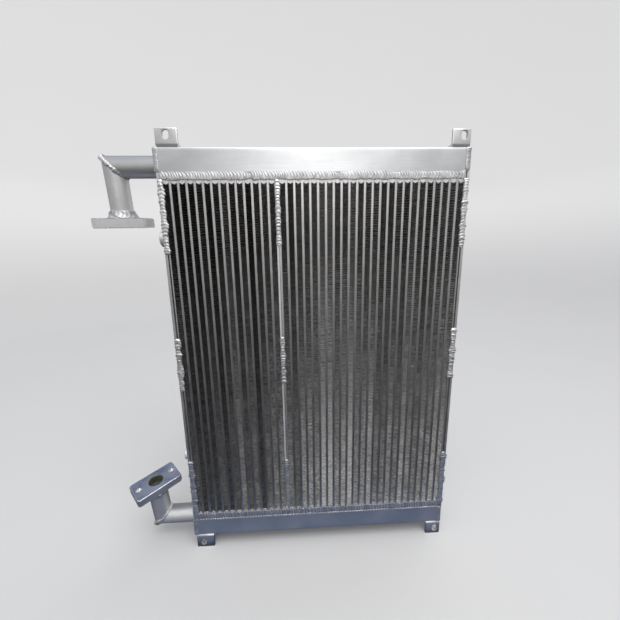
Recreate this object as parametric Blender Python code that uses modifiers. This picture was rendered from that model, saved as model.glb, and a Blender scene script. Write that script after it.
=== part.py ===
"""Hydraulic oil cooler: brazed bar-and-plate aluminium core in two blocks, box tanks, flanged ports,
mounting tabs.

World frame: metres, +Z up, -Y out of the front face, with which the mounting tabs are level,
+X across the core away from the ports, so left is -X.
The origin lies on the lower left tab's front face, 10 mm under the middle of its slot.
The numbers below are millimetres from a point on the core's middle planes, 37 mm under the core.
new_object moves each finished shape to the origin and add_* functions turn millimetres to metres.
"""

import math

import bmesh
import bpy
from mathutils import Matrix, Vector

MM = 0.001
GAP = 0.3  # brazed and welded joints are drawn with this gap between neighbours
CUT_OVER = 5.0  # how far most cutters run past the piece they cut

# core
FIN_W = 9.2  # air channel width
PITCH = 13.0  # one air channel plus one oil passage
PASSAGE_W = PITCH - FIN_W
PASSAGE_SLOT = 2.2  # oil gap inside a passage
BAR_DEPTH = 8.0  # long face bar that shuts a passage front and back
RIB = 1.2  # brazed ribs that split a passage, in place of its folded turbulator
LANES = 3  # oil lanes side by side in one passage
FINS_LEFT = 14
FINS_RIGHT = 24
CORE_D = 80.0
HALF_D = CORE_D / 2
FIN_H = 624.6
FIN_INSET = 0.8  # fin strip set back from the core's front and back faces
CLOSE_LOW = 18.5  # closing bars below the fins
CLOSE_HIGH = 16.3  # and above them
NOSE = 1.8  # how far the closing bar's nose reaches into the air channel
NOSE_W = 5.6
NOSE_TIP_W = 1.0
NOSE_FOOT = 0.2  # rise from the channel's corner to the foot of the nose
MID_PLATE = 3.7  # block end plate at the middle of the core
END_PLATE = 2.2  # block end plate at the outside
GROOVE = 2.2  # space between the block's end plate and the side plate
SIDE_PLATE = 4.6

# tanks
TANK_TOP_H = 37.0
TANK_LOW_H = 34.5
TANK_WALL = 4.0
TANK_X0 = -258.2  # outer face of the left end caps
TANK_X1 = 255.4  # and of the right ones
TANK_CORNER_R = 2.5
TANK_CORNER_ANGLES = (0.0, 0.52, 1.05, 1.5708)
CAP_T = 4.0
CAP_BEVEL = 0.8
BEAD_OUT = 2.7  # weld lip proud of the core face
BEAD_SHOULDER = BEAD_OUT * 0.6
BEAD_H = 11.5

# tabs
TAB_T = 5.0
TAB_R = 5.5  # outside of the bend
TAB_BEND_ANGLES = (0.0, 0.4, 0.8, 1.2, 1.5708)
TAB_CHAMFER = 1.0  # inside of the bend
TAB_LEG = 30.0
TAB_W_LEFT = 34.6
TAB_W_RIGHT = 30.0
TAB_REACH_TOP = 26.9  # standing height off the tank
TAB_REACH_LOW = 29.2
SLOT_W = 10.5
SLOT_L = 14.5
SLOT_STEPS = 12  # segments in each rounded end
# level, side, left edge, width, standing height, slot's middle (x, z)
TABS = (
    ("top", "left", -252.2, TAB_W_LEFT, TAB_REACH_TOP, (-235.6, 751.5)),
    ("top", "right", 222.8, TAB_W_RIGHT, TAB_REACH_TOP, (241.8, 751.5)),
    ("bottom", "left", -254.2, TAB_W_LEFT, TAB_REACH_LOW, (-241.0, -14.0)),
    ("bottom", "right", 225.4, TAB_W_RIGHT, TAB_REACH_LOW, (244.8, -14.2)),
)
ORIGIN_SLOT = TABS[2][-1]  # lower left tab
ORIGIN_DROP = 10.0

# ports: a stub out of the tank and a leg mitred onto it, with a flange on the leg's far end
TUBE_R = 17.7
TUBE_BORE_R = 14.7
TUBE_PAST_MITRE = 40.0  # uncut tube beyond the corner, before the mitre takes it off
BORE_LEAD = 10.0  # bore cutter ahead of the tube's start
STUB_BORE_PAST = 10.0  # and past its end
LEG_BORE_PAST = 20.0
MITRE_BLOCK = 120.0
FLANGE_L = 85.0
FLANGE_W = 50.5
FLANGE_T = 16.5
FLANGE_BEVEL = 1.2
FLANGE_BORE_R = 13.0
FLANGE_CUT_L = 40.0
BOLT_R = 5.0
BOLT_SPACING = 64.0
UPPER_Z = 714.0
LOWER_Z = 18.9
# up: 1 for a leg that rises, -1 for one that drops; reach: stub axis to the flange's welded face
# tilt: degrees the leg's axis leans from vertical, its upper end towards -Y
# spin: degrees the flange's long side turns about that axis, from +X towards +Y
PORTS = {
    "upper_port": dict(
        leg_name="drop", up=-1, corner_x=-339.9, axis_z=UPPER_Z, reach=82.5, tilt=4.8, spin=7.2
    ),
    "lower_port": dict(
        leg_name="riser", up=1, corner_x=-335.9, axis_z=LOWER_Z, reach=78.9, tilt=8.0, spin=44.1
    ),
}

# bosses
BOSS_OUT = 18.0  # outer face from the side plate
BOSS_HOLE_R = 5.0
BOSS_HOLE_DEPTH = 11.7
# name, radius, height
BOSSES = (("boss_upper", 14.0, 594.7), ("boss_lower", 10.5, 161.7))

# circle segments
TUBE_SEGMENTS = 48
BOSS_SEGMENTS = 40
SMALL_HOLE_SEGMENTS = 24


def row_width(count):
    """Width of count air channels and the passages between them."""
    return count * FIN_W + (count - 1) * PASSAGE_W


# worked-out places
Z_CORE0 = 37.0
Z_FIN0 = Z_CORE0 + CLOSE_LOW
Z_FIN1 = Z_FIN0 + FIN_H
Z_CORE1 = Z_FIN1 + CLOSE_HIGH
Z_TOP = Z_CORE1 + TANK_TOP_H
Z_BASE = Z_CORE0 - TANK_LOW_H
FINS_HALF_W = (row_width(FINS_LEFT) + row_width(FINS_RIGHT) + 2 * MID_PLATE + GAP) / 2
SIDE_IN = FINS_HALF_W + END_PLATE + GROOVE
SIDE_OUT = SIDE_IN + SIDE_PLATE
ORIGIN = Vector((ORIGIN_SLOT[0], -HALF_D, ORIGIN_SLOT[1] - ORIGIN_DROP))

# level: outer face's Z, Z direction from it towards the core, height, left cap's port Z
TANKS = {
    "bottom": (Z_BASE, 1, TANK_LOW_H, LOWER_Z),
    "top": (Z_TOP, -1, TANK_TOP_H, UPPER_Z),
}

# ---------------------------------------------------------------- scene and materials

for old in list(bpy.data.objects):
    bpy.data.objects.remove(old, do_unlink=True)

parts = bpy.data.collections.new("hydraulic_oil_cooler")
cutters = bpy.data.collections.new("cutters")
bpy.context.scene.collection.children.link(parts)
bpy.context.scene.collection.children.link(cutters)
cutters.hide_render = True


def metal(name, colour, roughness):
    mat = bpy.data.materials.new(name)
    mat.use_nodes = True
    shader = mat.node_tree.nodes["Principled BSDF"]
    shader.inputs["Base Color"].default_value = (*colour, 1.0)
    shader.inputs["Roughness"].default_value = roughness
    shader.inputs["Metallic"].default_value = 1.0
    mat.diffuse_color = (*colour, 1.0)
    return mat


FIN_ALU = metal("fin_aluminium", colour=(0.36, 0.37, 0.38), roughness=0.5)
BRAZED_ALU = metal("brazed_aluminium", colour=(0.66, 0.66, 0.65), roughness=0.42)
PLATE_ALU = metal("plate_aluminium", colour=(0.72, 0.73, 0.74), roughness=0.36)
TANK_ALU = metal("tank_aluminium", colour=(0.70, 0.71, 0.72), roughness=0.33)
TUBE_ALU = metal("tube_aluminium", colour=(0.74, 0.74, 0.73), roughness=0.30)
MILLED_ALU = metal("milled_aluminium", colour=(0.68, 0.69, 0.71), roughness=0.28)

# ---------------------------------------------------------------- shapes


def add_box(shape, low, high):
    """A box between two corners."""
    size = [(b - a) * MM for a, b in zip(low, high)]
    centre = [(a + b) / 2 * MM for a, b in zip(low, high)]
    bmesh.ops.create_cube(
        shape, size=1.0, matrix=Matrix.Translation(centre) @ Matrix.Diagonal((*size, 1.0))
    )


def add_prism(shape, outline, axis, start, end):
    """A closed outline in the other two axes, pushed along world axis 0, 1 or 2."""

    def corner(pair):
        spot = list(pair)
        spot.insert(axis, start)
        return shape.verts.new([c * MM for c in spot])

    near = shape.faces.new([corner(pair) for pair in outline])
    moved = bmesh.ops.extrude_face_region(shape, geom=[near])["geom"]
    step = Vector((0.0, 0.0, 0.0))
    step[axis] = (end - start) * MM
    bmesh.ops.translate(
        shape, verts=[item for item in moved if isinstance(item, bmesh.types.BMVert)], vec=step
    )


def add_cylinder(shape, radius, start, direction, length, segments=TUBE_SEGMENTS):
    """A capped cylinder from start along direction."""
    direction = Vector(direction).normalized()
    turn = direction.to_track_quat("Z", "Y").to_matrix().to_4x4()
    middle = (Vector(start) + direction * length / 2) * MM
    bmesh.ops.create_cone(
        shape,
        cap_ends=True,
        segments=segments,
        radius1=radius * MM,
        radius2=radius * MM,
        depth=length * MM,
        matrix=Matrix.Translation(middle) @ turn,
    )


def new_object(name, shape, collection):
    """Moves a shape to the origin and makes it an object."""
    bmesh.ops.recalc_face_normals(shape, faces=shape.faces)
    bmesh.ops.translate(shape, verts=shape.verts, vec=-ORIGIN * MM)
    mesh = bpy.data.meshes.new(name)
    shape.to_mesh(mesh)
    shape.free()
    obj = bpy.data.objects.new(name, mesh)
    collection.objects.link(obj)
    return obj


def part(name, shape, mat):
    obj = new_object(name, shape, parts)
    obj.data.materials.append(mat)
    return obj


def box_part(name, low, high, mat):
    shape = bmesh.new()
    add_box(shape, low, high)
    return part(name, shape, mat)


def cut(obj, name, shape):
    """Takes a shape out of an object with a hidden cutter and a boolean."""
    cutter = new_object(name, shape, cutters)
    cutter.hide_render = True
    cutter.display_type = "WIRE"
    mod = obj.modifiers.new("difference", "BOOLEAN")
    mod.operation = "DIFFERENCE"
    mod.solver = "EXACT"
    mod.object = cutter


def smooth(obj, degrees=35):
    obj.data.shade_smooth()
    obj.data.set_sharp_from_angle(angle=math.radians(degrees))


# ---------------------------------------------------------------- core


def channel_outline(x0):
    """An air channel's (x, z), with the closing bars' noses reaching in at both ends."""
    middle = x0 + FIN_W / 2
    low_end = [
        (x0, 0.0),
        (middle - NOSE_W / 2, NOSE_FOOT),
        (middle - NOSE_TIP_W / 2, NOSE),
        (middle + NOSE_TIP_W / 2, NOSE),
        (middle + NOSE_W / 2, NOSE_FOOT),
        (x0 + FIN_W, 0.0),
    ]
    return [(x, Z_FIN0 + h) for x, h in low_end] + [(x, Z_FIN1 - h) for x, h in low_end[::-1]]


def core_block(name, x_first, count, plate_left, plate_right):
    """Oil passages joined by closing bars, an end plate on each side: one brazed piece."""
    block = box_part(
        name,
        (x_first - plate_left, -HALF_D, Z_CORE0 + GAP),
        (x_first + row_width(count) + plate_right, HALF_D, Z_CORE1 - GAP),
        BRAZED_ALU,
    )
    air = bmesh.new()
    for i in range(count):
        outline = channel_outline(x_first + i * PITCH)
        add_prism(air, outline, 1, -HALF_D - CUT_OVER, HALF_D + CUT_OVER)
    cut(block, name + "_air_cut", air)

    oil = bmesh.new()
    lane = (CORE_D - 2 * BAR_DEPTH - (LANES - 1) * RIB) / LANES
    for i in range(count - 1):
        middle = x_first + i * PITCH + FIN_W + PASSAGE_W / 2
        for k in range(LANES):
            y = -HALF_D + BAR_DEPTH + k * (lane + RIB)
            add_box(
                oil,
                (middle - PASSAGE_SLOT / 2, y, Z_CORE0 - CUT_OVER),
                (middle + PASSAGE_SLOT / 2, y + lane, Z_CORE1 + CUT_OVER),
            )
    cut(block, name + "_oil_cut", oil)


def fin_strip(number, x0):
    """The envelope of one folded air fin strip."""
    box_part(
        f"air_fin_{number:02d}",
        (x0 + GAP, -HALF_D + FIN_INSET, Z_FIN0 + NOSE + GAP),
        (x0 + FIN_W - GAP, HALF_D - FIN_INSET, Z_FIN1 - NOSE - GAP),
        FIN_ALU,
    )


def side_plate(side, x0):
    box_part(
        "side_plate_" + side,
        (x0, -HALF_D, Z_CORE0 + GAP),
        (x0 + SIDE_PLATE, HALF_D, Z_CORE1 - GAP),
        PLATE_ALU,
    )


def build_core():
    left_x = -FINS_HALF_W
    right_x = FINS_HALF_W - row_width(FINS_RIGHT)
    core_block("passages_left", left_x, FINS_LEFT, END_PLATE, MID_PLATE)
    core_block("passages_right", right_x, FINS_RIGHT, MID_PLATE, END_PLATE)
    fin_xs = [left_x + i * PITCH for i in range(FINS_LEFT)]
    fin_xs += [right_x + i * PITCH for i in range(FINS_RIGHT)]
    for number, x0 in enumerate(fin_xs, start=1):
        fin_strip(number, x0)
    side_plate("left", -SIDE_OUT)
    side_plate("right", SIDE_IN)


# ---------------------------------------------------------------- tanks


def tank(name, base, inward, height):
    """A U-shaped channel open towards the core, its rims carrying the weld lips."""
    # half profile: y, and height h from the tank's outer face towards the core
    corner = [
        (
            HALF_D - TANK_CORNER_R + TANK_CORNER_R * math.sin(angle),
            TANK_CORNER_R - TANK_CORNER_R * math.cos(angle),
        )
        for angle in TANK_CORNER_ANGLES
    ]
    # weld lip: y out from the core face, h past the core's end
    lip = [
        (0.0, -3.0),
        (BEAD_SHOULDER, -1.2),
        (BEAD_OUT, 3.0),
        (BEAD_OUT, BEAD_H - 4.5),
        (BEAD_SHOULDER, BEAD_H - 1.2),
        (GAP, BEAD_H),
        (GAP, -GAP),
        (1.0 - TANK_WALL, -GAP),
    ]
    inside = [(HALF_D - TANK_WALL, height - GAP), (HALF_D - TANK_WALL, TANK_WALL)]
    half = corner + [(HALF_D + y, height + h) for y, h in lip] + inside
    profile = half + [(-y, h) for y, h in half[::-1]]
    shape = bmesh.new()
    add_prism(
        shape,
        [(y, base + inward * h) for y, h in profile],
        0,
        TANK_X0 + CAP_T + GAP,
        TANK_X1 - CAP_T - GAP,
    )
    smooth(part(name, shape, TANK_ALU))


def end_cap(name, x0, base, inward, height, port_z=None):
    """A plate across one end of a tank, with a port hole if port_z is given."""
    z0, z1 = sorted((base, base + inward * (height - GAP)))
    cap = box_part(name, (x0, -HALF_D, z0), (x0 + CAP_T, HALF_D, z1), TANK_ALU)
    if port_z is not None:
        hole = bmesh.new()
        start = (x0 - CUT_OVER, 0, port_z)
        add_cylinder(hole, TUBE_BORE_R, start, (1, 0, 0), CAP_T + 2 * CUT_OVER)
        cut(cap, name + "_port_cut", hole)
    bevel = cap.modifiers.new("edges", "BEVEL")
    bevel.width = CAP_BEVEL * MM
    bevel.segments = 1
    bevel.limit_method = "ANGLE"
    bevel.angle_limit = math.radians(60)


def build_tanks():
    for level, (base, inward, height, port_z) in TANKS.items():
        tank("tank_" + level, base, inward, height)
        end_cap(f"end_cap_{level}_left", TANK_X0, base, inward, height, port_z)
        end_cap(f"end_cap_{level}_right", TANK_X1 - CAP_T, base, inward, height)


# ---------------------------------------------------------------- tabs


def slot_outline(slot_x, slot_z):
    """An upright slot's (x, z): two half circles joined by straight sides."""
    radius = SLOT_W / 2
    offset = (SLOT_L - SLOT_W) / 2
    outline = []
    for centre, start in ((offset, 0.0), (-offset, math.pi)):
        for k in range(SLOT_STEPS + 1):
            angle = start + math.pi * k / SLOT_STEPS
            x = slot_x + radius * math.cos(angle)
            outline.append((x, slot_z + centre + radius * math.sin(angle)))
    return outline


def tab(name, x0, width, base, outward, reach, slot):
    """A bent plate: one leg on the tank, the other standing off it level with the core's front."""
    # profile: y back from the core's front, and height off the tank
    profile = [(0.0, reach)]
    profile += [
        (TAB_R - TAB_R * math.cos(angle), TAB_R - TAB_R * math.sin(angle))
        for angle in TAB_BEND_ANGLES
    ]
    profile += [
        (TAB_LEG, 0.0),
        (TAB_LEG, TAB_T),
        (TAB_T + TAB_CHAMFER, TAB_T),
        (TAB_T, TAB_T + TAB_CHAMFER),
        (TAB_T, reach),
    ]
    outline = [(y - HALF_D, base + outward * (h + GAP)) for y, h in profile]
    shape = bmesh.new()
    add_prism(shape, outline, 0, x0, x0 + width)
    obj = part(name, shape, PLATE_ALU)
    hole = bmesh.new()
    add_prism(hole, slot_outline(*slot), 1, -HALF_D - CUT_OVER, -HALF_D + TAB_T + CUT_OVER)
    cut(obj, name + "_slot_cut", hole)
    smooth(obj)


def build_tabs():
    for level, side, x0, width, reach, slot in TABS:
        base, inward = TANKS[level][:2]
        tab(f"tab_{level}_{side}", x0, width, base, -inward, reach, slot)


# ---------------------------------------------------------------- ports


def mitre_block(corner, keep, other):
    """A big block whose face is the mitre plane, half a gap off the corner.

    It takes off the tube beyond the corner. keep and other point from the corner
    along the tube being cut and along its neighbour.
    """
    normal = (keep - other).normalized()
    turn = (-normal).to_track_quat("Z", "Y").to_matrix().to_4x4()
    middle = corner + normal * (GAP / 2 - MITRE_BLOCK / 2)
    shape = bmesh.new()
    bmesh.ops.create_cube(
        shape, size=MITRE_BLOCK * MM, matrix=Matrix.Translation(middle * MM) @ turn
    )
    return shape


def tube(name, cut_prefix, start, direction, length, bore_past, mitre):
    """A bored tube, cut to the mitre."""
    shape = bmesh.new()
    add_cylinder(shape, TUBE_R, start, direction, length)
    obj = part(name, shape, TUBE_ALU)
    bore = bmesh.new()
    bore_start = start - direction * BORE_LEAD
    add_cylinder(bore, TUBE_BORE_R, bore_start, direction, BORE_LEAD + length + bore_past)
    cut(obj, cut_prefix + "_bore", bore)
    cut(obj, cut_prefix + "_mitre", mitre)
    smooth(obj)


def flange(name, centre, lean, spin):
    """A two-bolt flange block square to the axis lean."""
    across = lean.cross(Vector((1.0, 0.0, 0.0)))
    long_side = Vector((1.0, 0.0, 0.0)) * math.cos(spin) + across * math.sin(spin)
    short_side = lean.cross(long_side)
    frame = Matrix((long_side, short_side, lean)).transposed().to_4x4()
    size = Matrix.Diagonal((FLANGE_L * MM, FLANGE_W * MM, FLANGE_T * MM, 1.0))
    shape = bmesh.new()
    bmesh.ops.create_cube(shape, size=1.0, matrix=Matrix.Translation(centre * MM) @ frame @ size)
    bmesh.ops.bevel(
        shape, geom=list(shape.edges), offset=FLANGE_BEVEL * MM, segments=1, affect="EDGES"
    )
    obj = part(name, shape, MILLED_ALU)

    holes = bmesh.new()
    start = centre - lean * (FLANGE_CUT_L / 2)
    add_cylinder(holes, FLANGE_BORE_R, start, lean, FLANGE_CUT_L)
    for sign in (-1, 1):
        bolt = start + long_side * (sign * BOLT_SPACING / 2)
        add_cylinder(holes, BOLT_R, bolt, lean, FLANGE_CUT_L, SMALL_HOLE_SEGMENTS)
    cut(obj, name + "_holes", holes)
    smooth(obj)


def port(name, leg_name, up, corner_x, axis_z, reach, tilt, spin):
    """A stub out of the tank's left end, a leg mitred onto it, and a flange on the leg."""
    tilt = math.radians(tilt)
    lean = Vector((0.0, -math.sin(tilt), math.cos(tilt)))
    along = lean * up
    corner = Vector((corner_x, 0.0, axis_z))
    to_tank = Vector((1.0, 0.0, 0.0))
    stub_x = TANK_X0 - GAP
    tube(
        name + "_stub",
        name + "_stub",
        start=Vector((stub_x, 0.0, axis_z)),
        direction=-to_tank,
        length=stub_x - corner_x + TUBE_PAST_MITRE,
        bore_past=STUB_BORE_PAST,
        mitre=mitre_block(corner, keep=to_tank, other=along),
    )
    tube(
        f"{name}_{leg_name}",
        name + "_leg",
        start=corner - along * TUBE_PAST_MITRE,
        direction=along,
        length=TUBE_PAST_MITRE + reach - GAP,
        bore_past=LEG_BORE_PAST,
        mitre=mitre_block(corner, keep=along, other=to_tank),
    )
    flange(name + "_flange", corner + along * (reach + FLANGE_T / 2), lean, math.radians(spin))


# ---------------------------------------------------------------- bosses


def boss(name, radius, z):
    """A short round weld-on boss on the left side plate, with a blind hole in its outer face."""
    x = -SIDE_OUT - GAP
    shape = bmesh.new()
    add_cylinder(shape, radius, (x, 0, z), (-1, 0, 0), BOSS_OUT - GAP, BOSS_SEGMENTS)
    obj = part(name, shape, MILLED_ALU)
    hole = bmesh.new()
    add_cylinder(
        hole,
        BOSS_HOLE_R,
        (x - BOSS_OUT - CUT_OVER, 0, z),
        (1, 0, 0),
        CUT_OVER + GAP + BOSS_HOLE_DEPTH,
        SMALL_HOLE_SEGMENTS,
    )
    cut(obj, name + "_hole_cut", hole)
    smooth(obj)


build_core()
build_tanks()
build_tabs()
for port_name, sizes in PORTS.items():
    port(port_name, **sizes)
for boss_name, boss_radius, boss_z in BOSSES:
    boss(boss_name, boss_radius, boss_z)
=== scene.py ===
"""A hydraulic oil cooler: two brazed blocks of upright passages with folded air fins between them,
side plates, a channel tank above and below, four mounting tabs, and two elbow ports on the left.

Lengths are millimetres from a point on the core's middle planes, 37 mm under the core:
+X right, away from the ports, -Y the front, +Z up. placed() turns them into metres in the scene.
"""

import math

import bmesh
import bpy
import numpy as np
from mathutils import Matrix, Vector


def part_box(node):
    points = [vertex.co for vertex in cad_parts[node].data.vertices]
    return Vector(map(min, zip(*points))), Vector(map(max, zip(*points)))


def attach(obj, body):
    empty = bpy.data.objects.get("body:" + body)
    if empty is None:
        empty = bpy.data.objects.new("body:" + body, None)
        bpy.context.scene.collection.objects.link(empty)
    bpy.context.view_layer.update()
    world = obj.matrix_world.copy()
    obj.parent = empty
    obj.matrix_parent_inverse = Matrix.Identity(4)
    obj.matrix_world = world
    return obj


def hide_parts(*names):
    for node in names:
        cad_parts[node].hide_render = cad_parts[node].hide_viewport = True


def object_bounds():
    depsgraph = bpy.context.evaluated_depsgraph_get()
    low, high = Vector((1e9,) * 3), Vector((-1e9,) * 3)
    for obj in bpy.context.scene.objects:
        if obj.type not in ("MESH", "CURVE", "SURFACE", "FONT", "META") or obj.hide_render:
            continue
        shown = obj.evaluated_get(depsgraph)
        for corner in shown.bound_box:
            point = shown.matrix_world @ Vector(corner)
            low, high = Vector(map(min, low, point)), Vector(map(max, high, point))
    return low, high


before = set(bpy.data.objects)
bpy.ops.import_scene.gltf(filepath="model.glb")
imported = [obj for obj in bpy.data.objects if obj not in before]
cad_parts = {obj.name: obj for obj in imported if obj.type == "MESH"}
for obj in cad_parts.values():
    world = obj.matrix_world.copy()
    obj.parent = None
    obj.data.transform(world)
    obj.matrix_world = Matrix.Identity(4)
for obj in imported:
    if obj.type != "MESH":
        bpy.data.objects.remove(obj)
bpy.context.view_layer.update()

MM = 0.001
PLATE_TO_ORIGIN = (0.25145, -0.0373)  # metres in X and Z, from the left plate's right face and foot
_lo, _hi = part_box("side_plate_left")
ORIGIN = np.array([_hi.x + PLATE_TO_ORIGIN[0], (_lo.y + _hi.y) / 2, _lo.z + PLATE_TO_ORIGIN[1]])


def span(node):
    """A CAD node's lowest and highest corner, in layout millimetres."""
    lo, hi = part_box(node)
    return (np.array(lo) - ORIGIN) / MM, (np.array(hi) - ORIGIN) / MM


# ------------------------------------------------------------------ driving sizes

HALF_D = 40.0  # half the depth, front to rear
FIN_LO, FIN_HI = span("air_fin_01")
PITCH = span("air_fin_02")[0][0] - FIN_LO[0]
FIN_GAP = 0.3
FIN_W = FIN_HI[0] - FIN_LO[0] + 2 * FIN_GAP
PASS_W = PITCH - FIN_W
SHEET = 0.7
NOSE = 1.8  # how far a closing bar's nose stands into its channel
Z_CORE0, Z_CORE1 = (corner[2] for corner in span("passages_left"))
Z_FIN0 = FIN_LO[2] - NOSE - FIN_GAP
Z_FIN1 = FIN_HI[2] + NOSE + FIN_GAP
Z_TOP = span("end_cap_top_left")[1][2]
Z_BASE = span("end_cap_bottom_left")[0][2]
ENDS = {"top": (Z_TOP, 1), "bottom": (Z_BASE, -1)}  # outer face, direction out of the tank
CAP_OUT = -span("end_cap_top_left")[0][0]
COUNT_L, COUNT_R = 14, 24
X_L0 = FIN_LO[0] - FIN_GAP
X_R0 = span("air_fin_15")[0][0] - FIN_GAP
TUBE_R, TUBE_IN = 17.7, 14.7
UPPER_PORT_Z, LOWER_PORT_Z = 714.0, 18.9
CENTRE_X = -65.0  # the joint between the two blocks

# ------------------------------------------------------------------ mesh helpers


def placed(points):
    """Layout points in scene metres."""
    return np.asarray(points, float) * MM + ORIGIN


def link_object(name, data):
    obj = bpy.data.objects.new(name, data)
    bpy.context.scene.collection.objects.link(obj)
    return obj


def solid_mesh(name, verts, faces, mats=(), index=None):
    """A mesh from layout vertices, faces turned outward. index is one material number per face."""
    mesh = bpy.data.meshes.new(name)
    mesh.from_pydata(placed(verts).tolist(), [], [list(map(int, face)) for face in faces])
    for mat in mats:
        mesh.materials.append(mat)
    if index is not None:
        mesh.polygons.foreach_set("material_index", np.asarray(index, np.int32))
    mesh.validate()
    bm = bmesh.new()
    bm.from_mesh(mesh)
    bmesh.ops.recalc_face_normals(bm, faces=bm.faces)
    bm.to_mesh(mesh)
    bm.free()
    return mesh


def smooth_mesh(mesh, angle):
    """Smooth shading with sharp edges above an angle in degrees."""
    mesh.shade_smooth()
    mesh.set_sharp_from_angle(angle=math.radians(angle))


def register(obj, stands_for=None):
    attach(obj, "root")
    if stands_for:
        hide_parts(stands_for)


def finish_piece(name, mesh, smooth=40, stands_for=None):
    smooth_mesh(mesh, smooth)
    obj = link_object(name, mesh)
    register(obj, stands_for)
    return obj


def put(name, verts, faces, mats, slot, smooth=40, stands_for=None, index=None):
    """A finished piece from layout vertices."""
    mesh = solid_mesh(name, verts, faces, mats, index)
    return finish_piece(name, mesh, smooth, stands_for)


class Soup:
    """Collects closed shapes into one mesh."""

    def __init__(self):
        self.parts, self.faces, self.index, self.count = [], [], [], 0

    def add(self, verts, faces, index=None):
        self.parts.append(verts)
        self.faces += [[i + self.count for i in face] for face in faces]
        self.index += index or [0] * len(faces)
        self.count += len(verts)

    def joined(self):
        return np.concatenate(self.parts), self.faces

    def put(self, name, mats, slot, smooth, stands_for=None):
        return put(name, *self.joined(), mats, slot, smooth, stands_for, self.index)


def ring_faces(rows, size, wrap=False):
    """Quads between neighbouring rings of points."""
    faces = []
    for i in range(rows if wrap else rows - 1):
        here, there = i * size, (i + 1) % rows * size
        for j in range(size):
            j2 = (j + 1) % size
            faces.append((here + j, here + j2, there + j2, there + j))
    return faces


def loft(rings, wrap=False):
    """A closed skin over equal rings of points; capped at both ends unless it wraps round."""
    rings = np.asarray(rings, float)
    rows, size = rings.shape[:2]
    faces = ring_faces(rows, size, wrap)
    if not wrap:
        faces.append(tuple(range(size))[::-1])
        faces.append(tuple((rows - 1) * size + j for j in range(size)))
    return rings.reshape(-1, 3), faces


def waves(x, seed, base):
    """Smooth repeatable noise of one number, about -1 to 1."""
    rng = np.random.default_rng(seed)
    total = np.zeros_like(x, dtype=float)
    for k in range(5):
        total += 0.72**k * np.sin(x * base * (1.0 + k * 0.83) + rng.uniform(0, 6.28))
    return total / 2.2


def waves2(x, y, seed, base):
    """Smooth repeatable noise of two numbers."""
    rng = np.random.default_rng(seed)
    total = np.zeros(np.broadcast(x, y).shape)
    for k in range(7):
        turn = rng.uniform(0, 6.28)
        across = (x * math.cos(turn) + y * math.sin(turn)) * base * (0.6 + k * 0.55)
        total += 0.78**k * np.sin(across + rng.uniform(0, 6.28))
    return total / 2.4


def unit(vectors):
    vectors = np.asarray(vectors, float)
    return vectors / np.linalg.norm(vectors, axis=-1, keepdims=True)


def spokes(axis, count, near=(0, 1, 0)):
    """Unit vectors square to an axis, spread round it from the one closest to near."""
    axis = unit(axis)
    first = unit(near - np.dot(near, axis) * axis)
    turn = 2 * math.pi * np.arange(count) / count
    return np.outer(np.cos(turn), first) + np.outer(np.sin(turn), np.cross(axis, first))


def lathe(origin, axis, profile, segs, near=(0, 1, 0)):
    """A turned shape. profile is (radius, distance along the axis); only its ends are on the axis."""
    axis, origin = unit(axis), np.asarray(origin, float)
    around = spokes(axis, segs, near)
    rings = [origin + axis * z + radius * around for radius, z in profile[1:-1]]
    start, end = (origin + axis * profile[i][1] for i in (0, -1))
    verts = np.vstack([start, *rings, end])
    last = len(verts) - 1
    pairs = [(k, (k + 1) % segs) for k in range(segs)]
    faces = [(0, 1 + k, 1 + k2) for k, k2 in pairs]
    for here in range(1, last - segs, segs):
        there = here + segs
        faces += [(here + k, there + k, there + k2, here + k2) for k, k2 in pairs]
    faces += [(last - segs + k, last, last - segs + k2) for k, k2 in pairs]
    return verts, faces


def tube(origin, axis, near_plane, far_plane, phase):
    """A slightly uneven round tube between two planes, each (point, normal), ready to be mitred."""
    segs = 72
    around = spokes(axis, segs)
    turn = 2 * math.pi * np.arange(segs) / segs

    def wall(radius, steps, wobble):
        starts = origin + radius * around
        near, far = (
            (np.asarray(point) - starts) @ normal / np.dot(axis, normal)
            for point, normal in (near_plane, far_plane)
        )
        part = np.arange(steps + 1)[:, None] / steps
        uneven = 0.035 * np.sin(3 * turn + phase) * np.sin(part * 5 + phase)
        uneven = uneven + 0.03 * np.sin(2 * turn + part * 9 + phase)
        radii = radius + wobble * uneven
        reach = near + (far - near) * part
        return origin + axis * reach[..., None] + radii[..., None] * around

    rings = [wall(TUBE_R, steps=26, wobble=1), wall(TUBE_IN, steps=4, wobble=0)[::-1]]
    return loft(np.concatenate(rings), wrap=True)


def loose(name, verts, faces, mats=()):
    """A helper object, not yet a piece."""
    return link_object(name, solid_mesh(name, verts, faces, mats))


def carve(obj, cutters):
    """The mesh left when the cutters are taken from an object; removes them all."""
    for cutter in cutters:
        mod = obj.modifiers.new("cut", "BOOLEAN")
        mod.operation, mod.solver, mod.object = "DIFFERENCE", "EXACT", cutter
    bpy.context.view_layer.update()
    deps = bpy.context.evaluated_depsgraph_get()
    mesh = bpy.data.meshes.new_from_object(
        obj.evaluated_get(deps), preserve_all_data_layers=True, depsgraph=deps
    )
    for used in [obj, *cutters]:
        bpy.data.objects.remove(used)
    return mesh


# ------------------------------------------------------------------ shader helpers


def shade(colour, factor):
    return tuple(min(1.0, channel * factor) for channel in colour)


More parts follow.
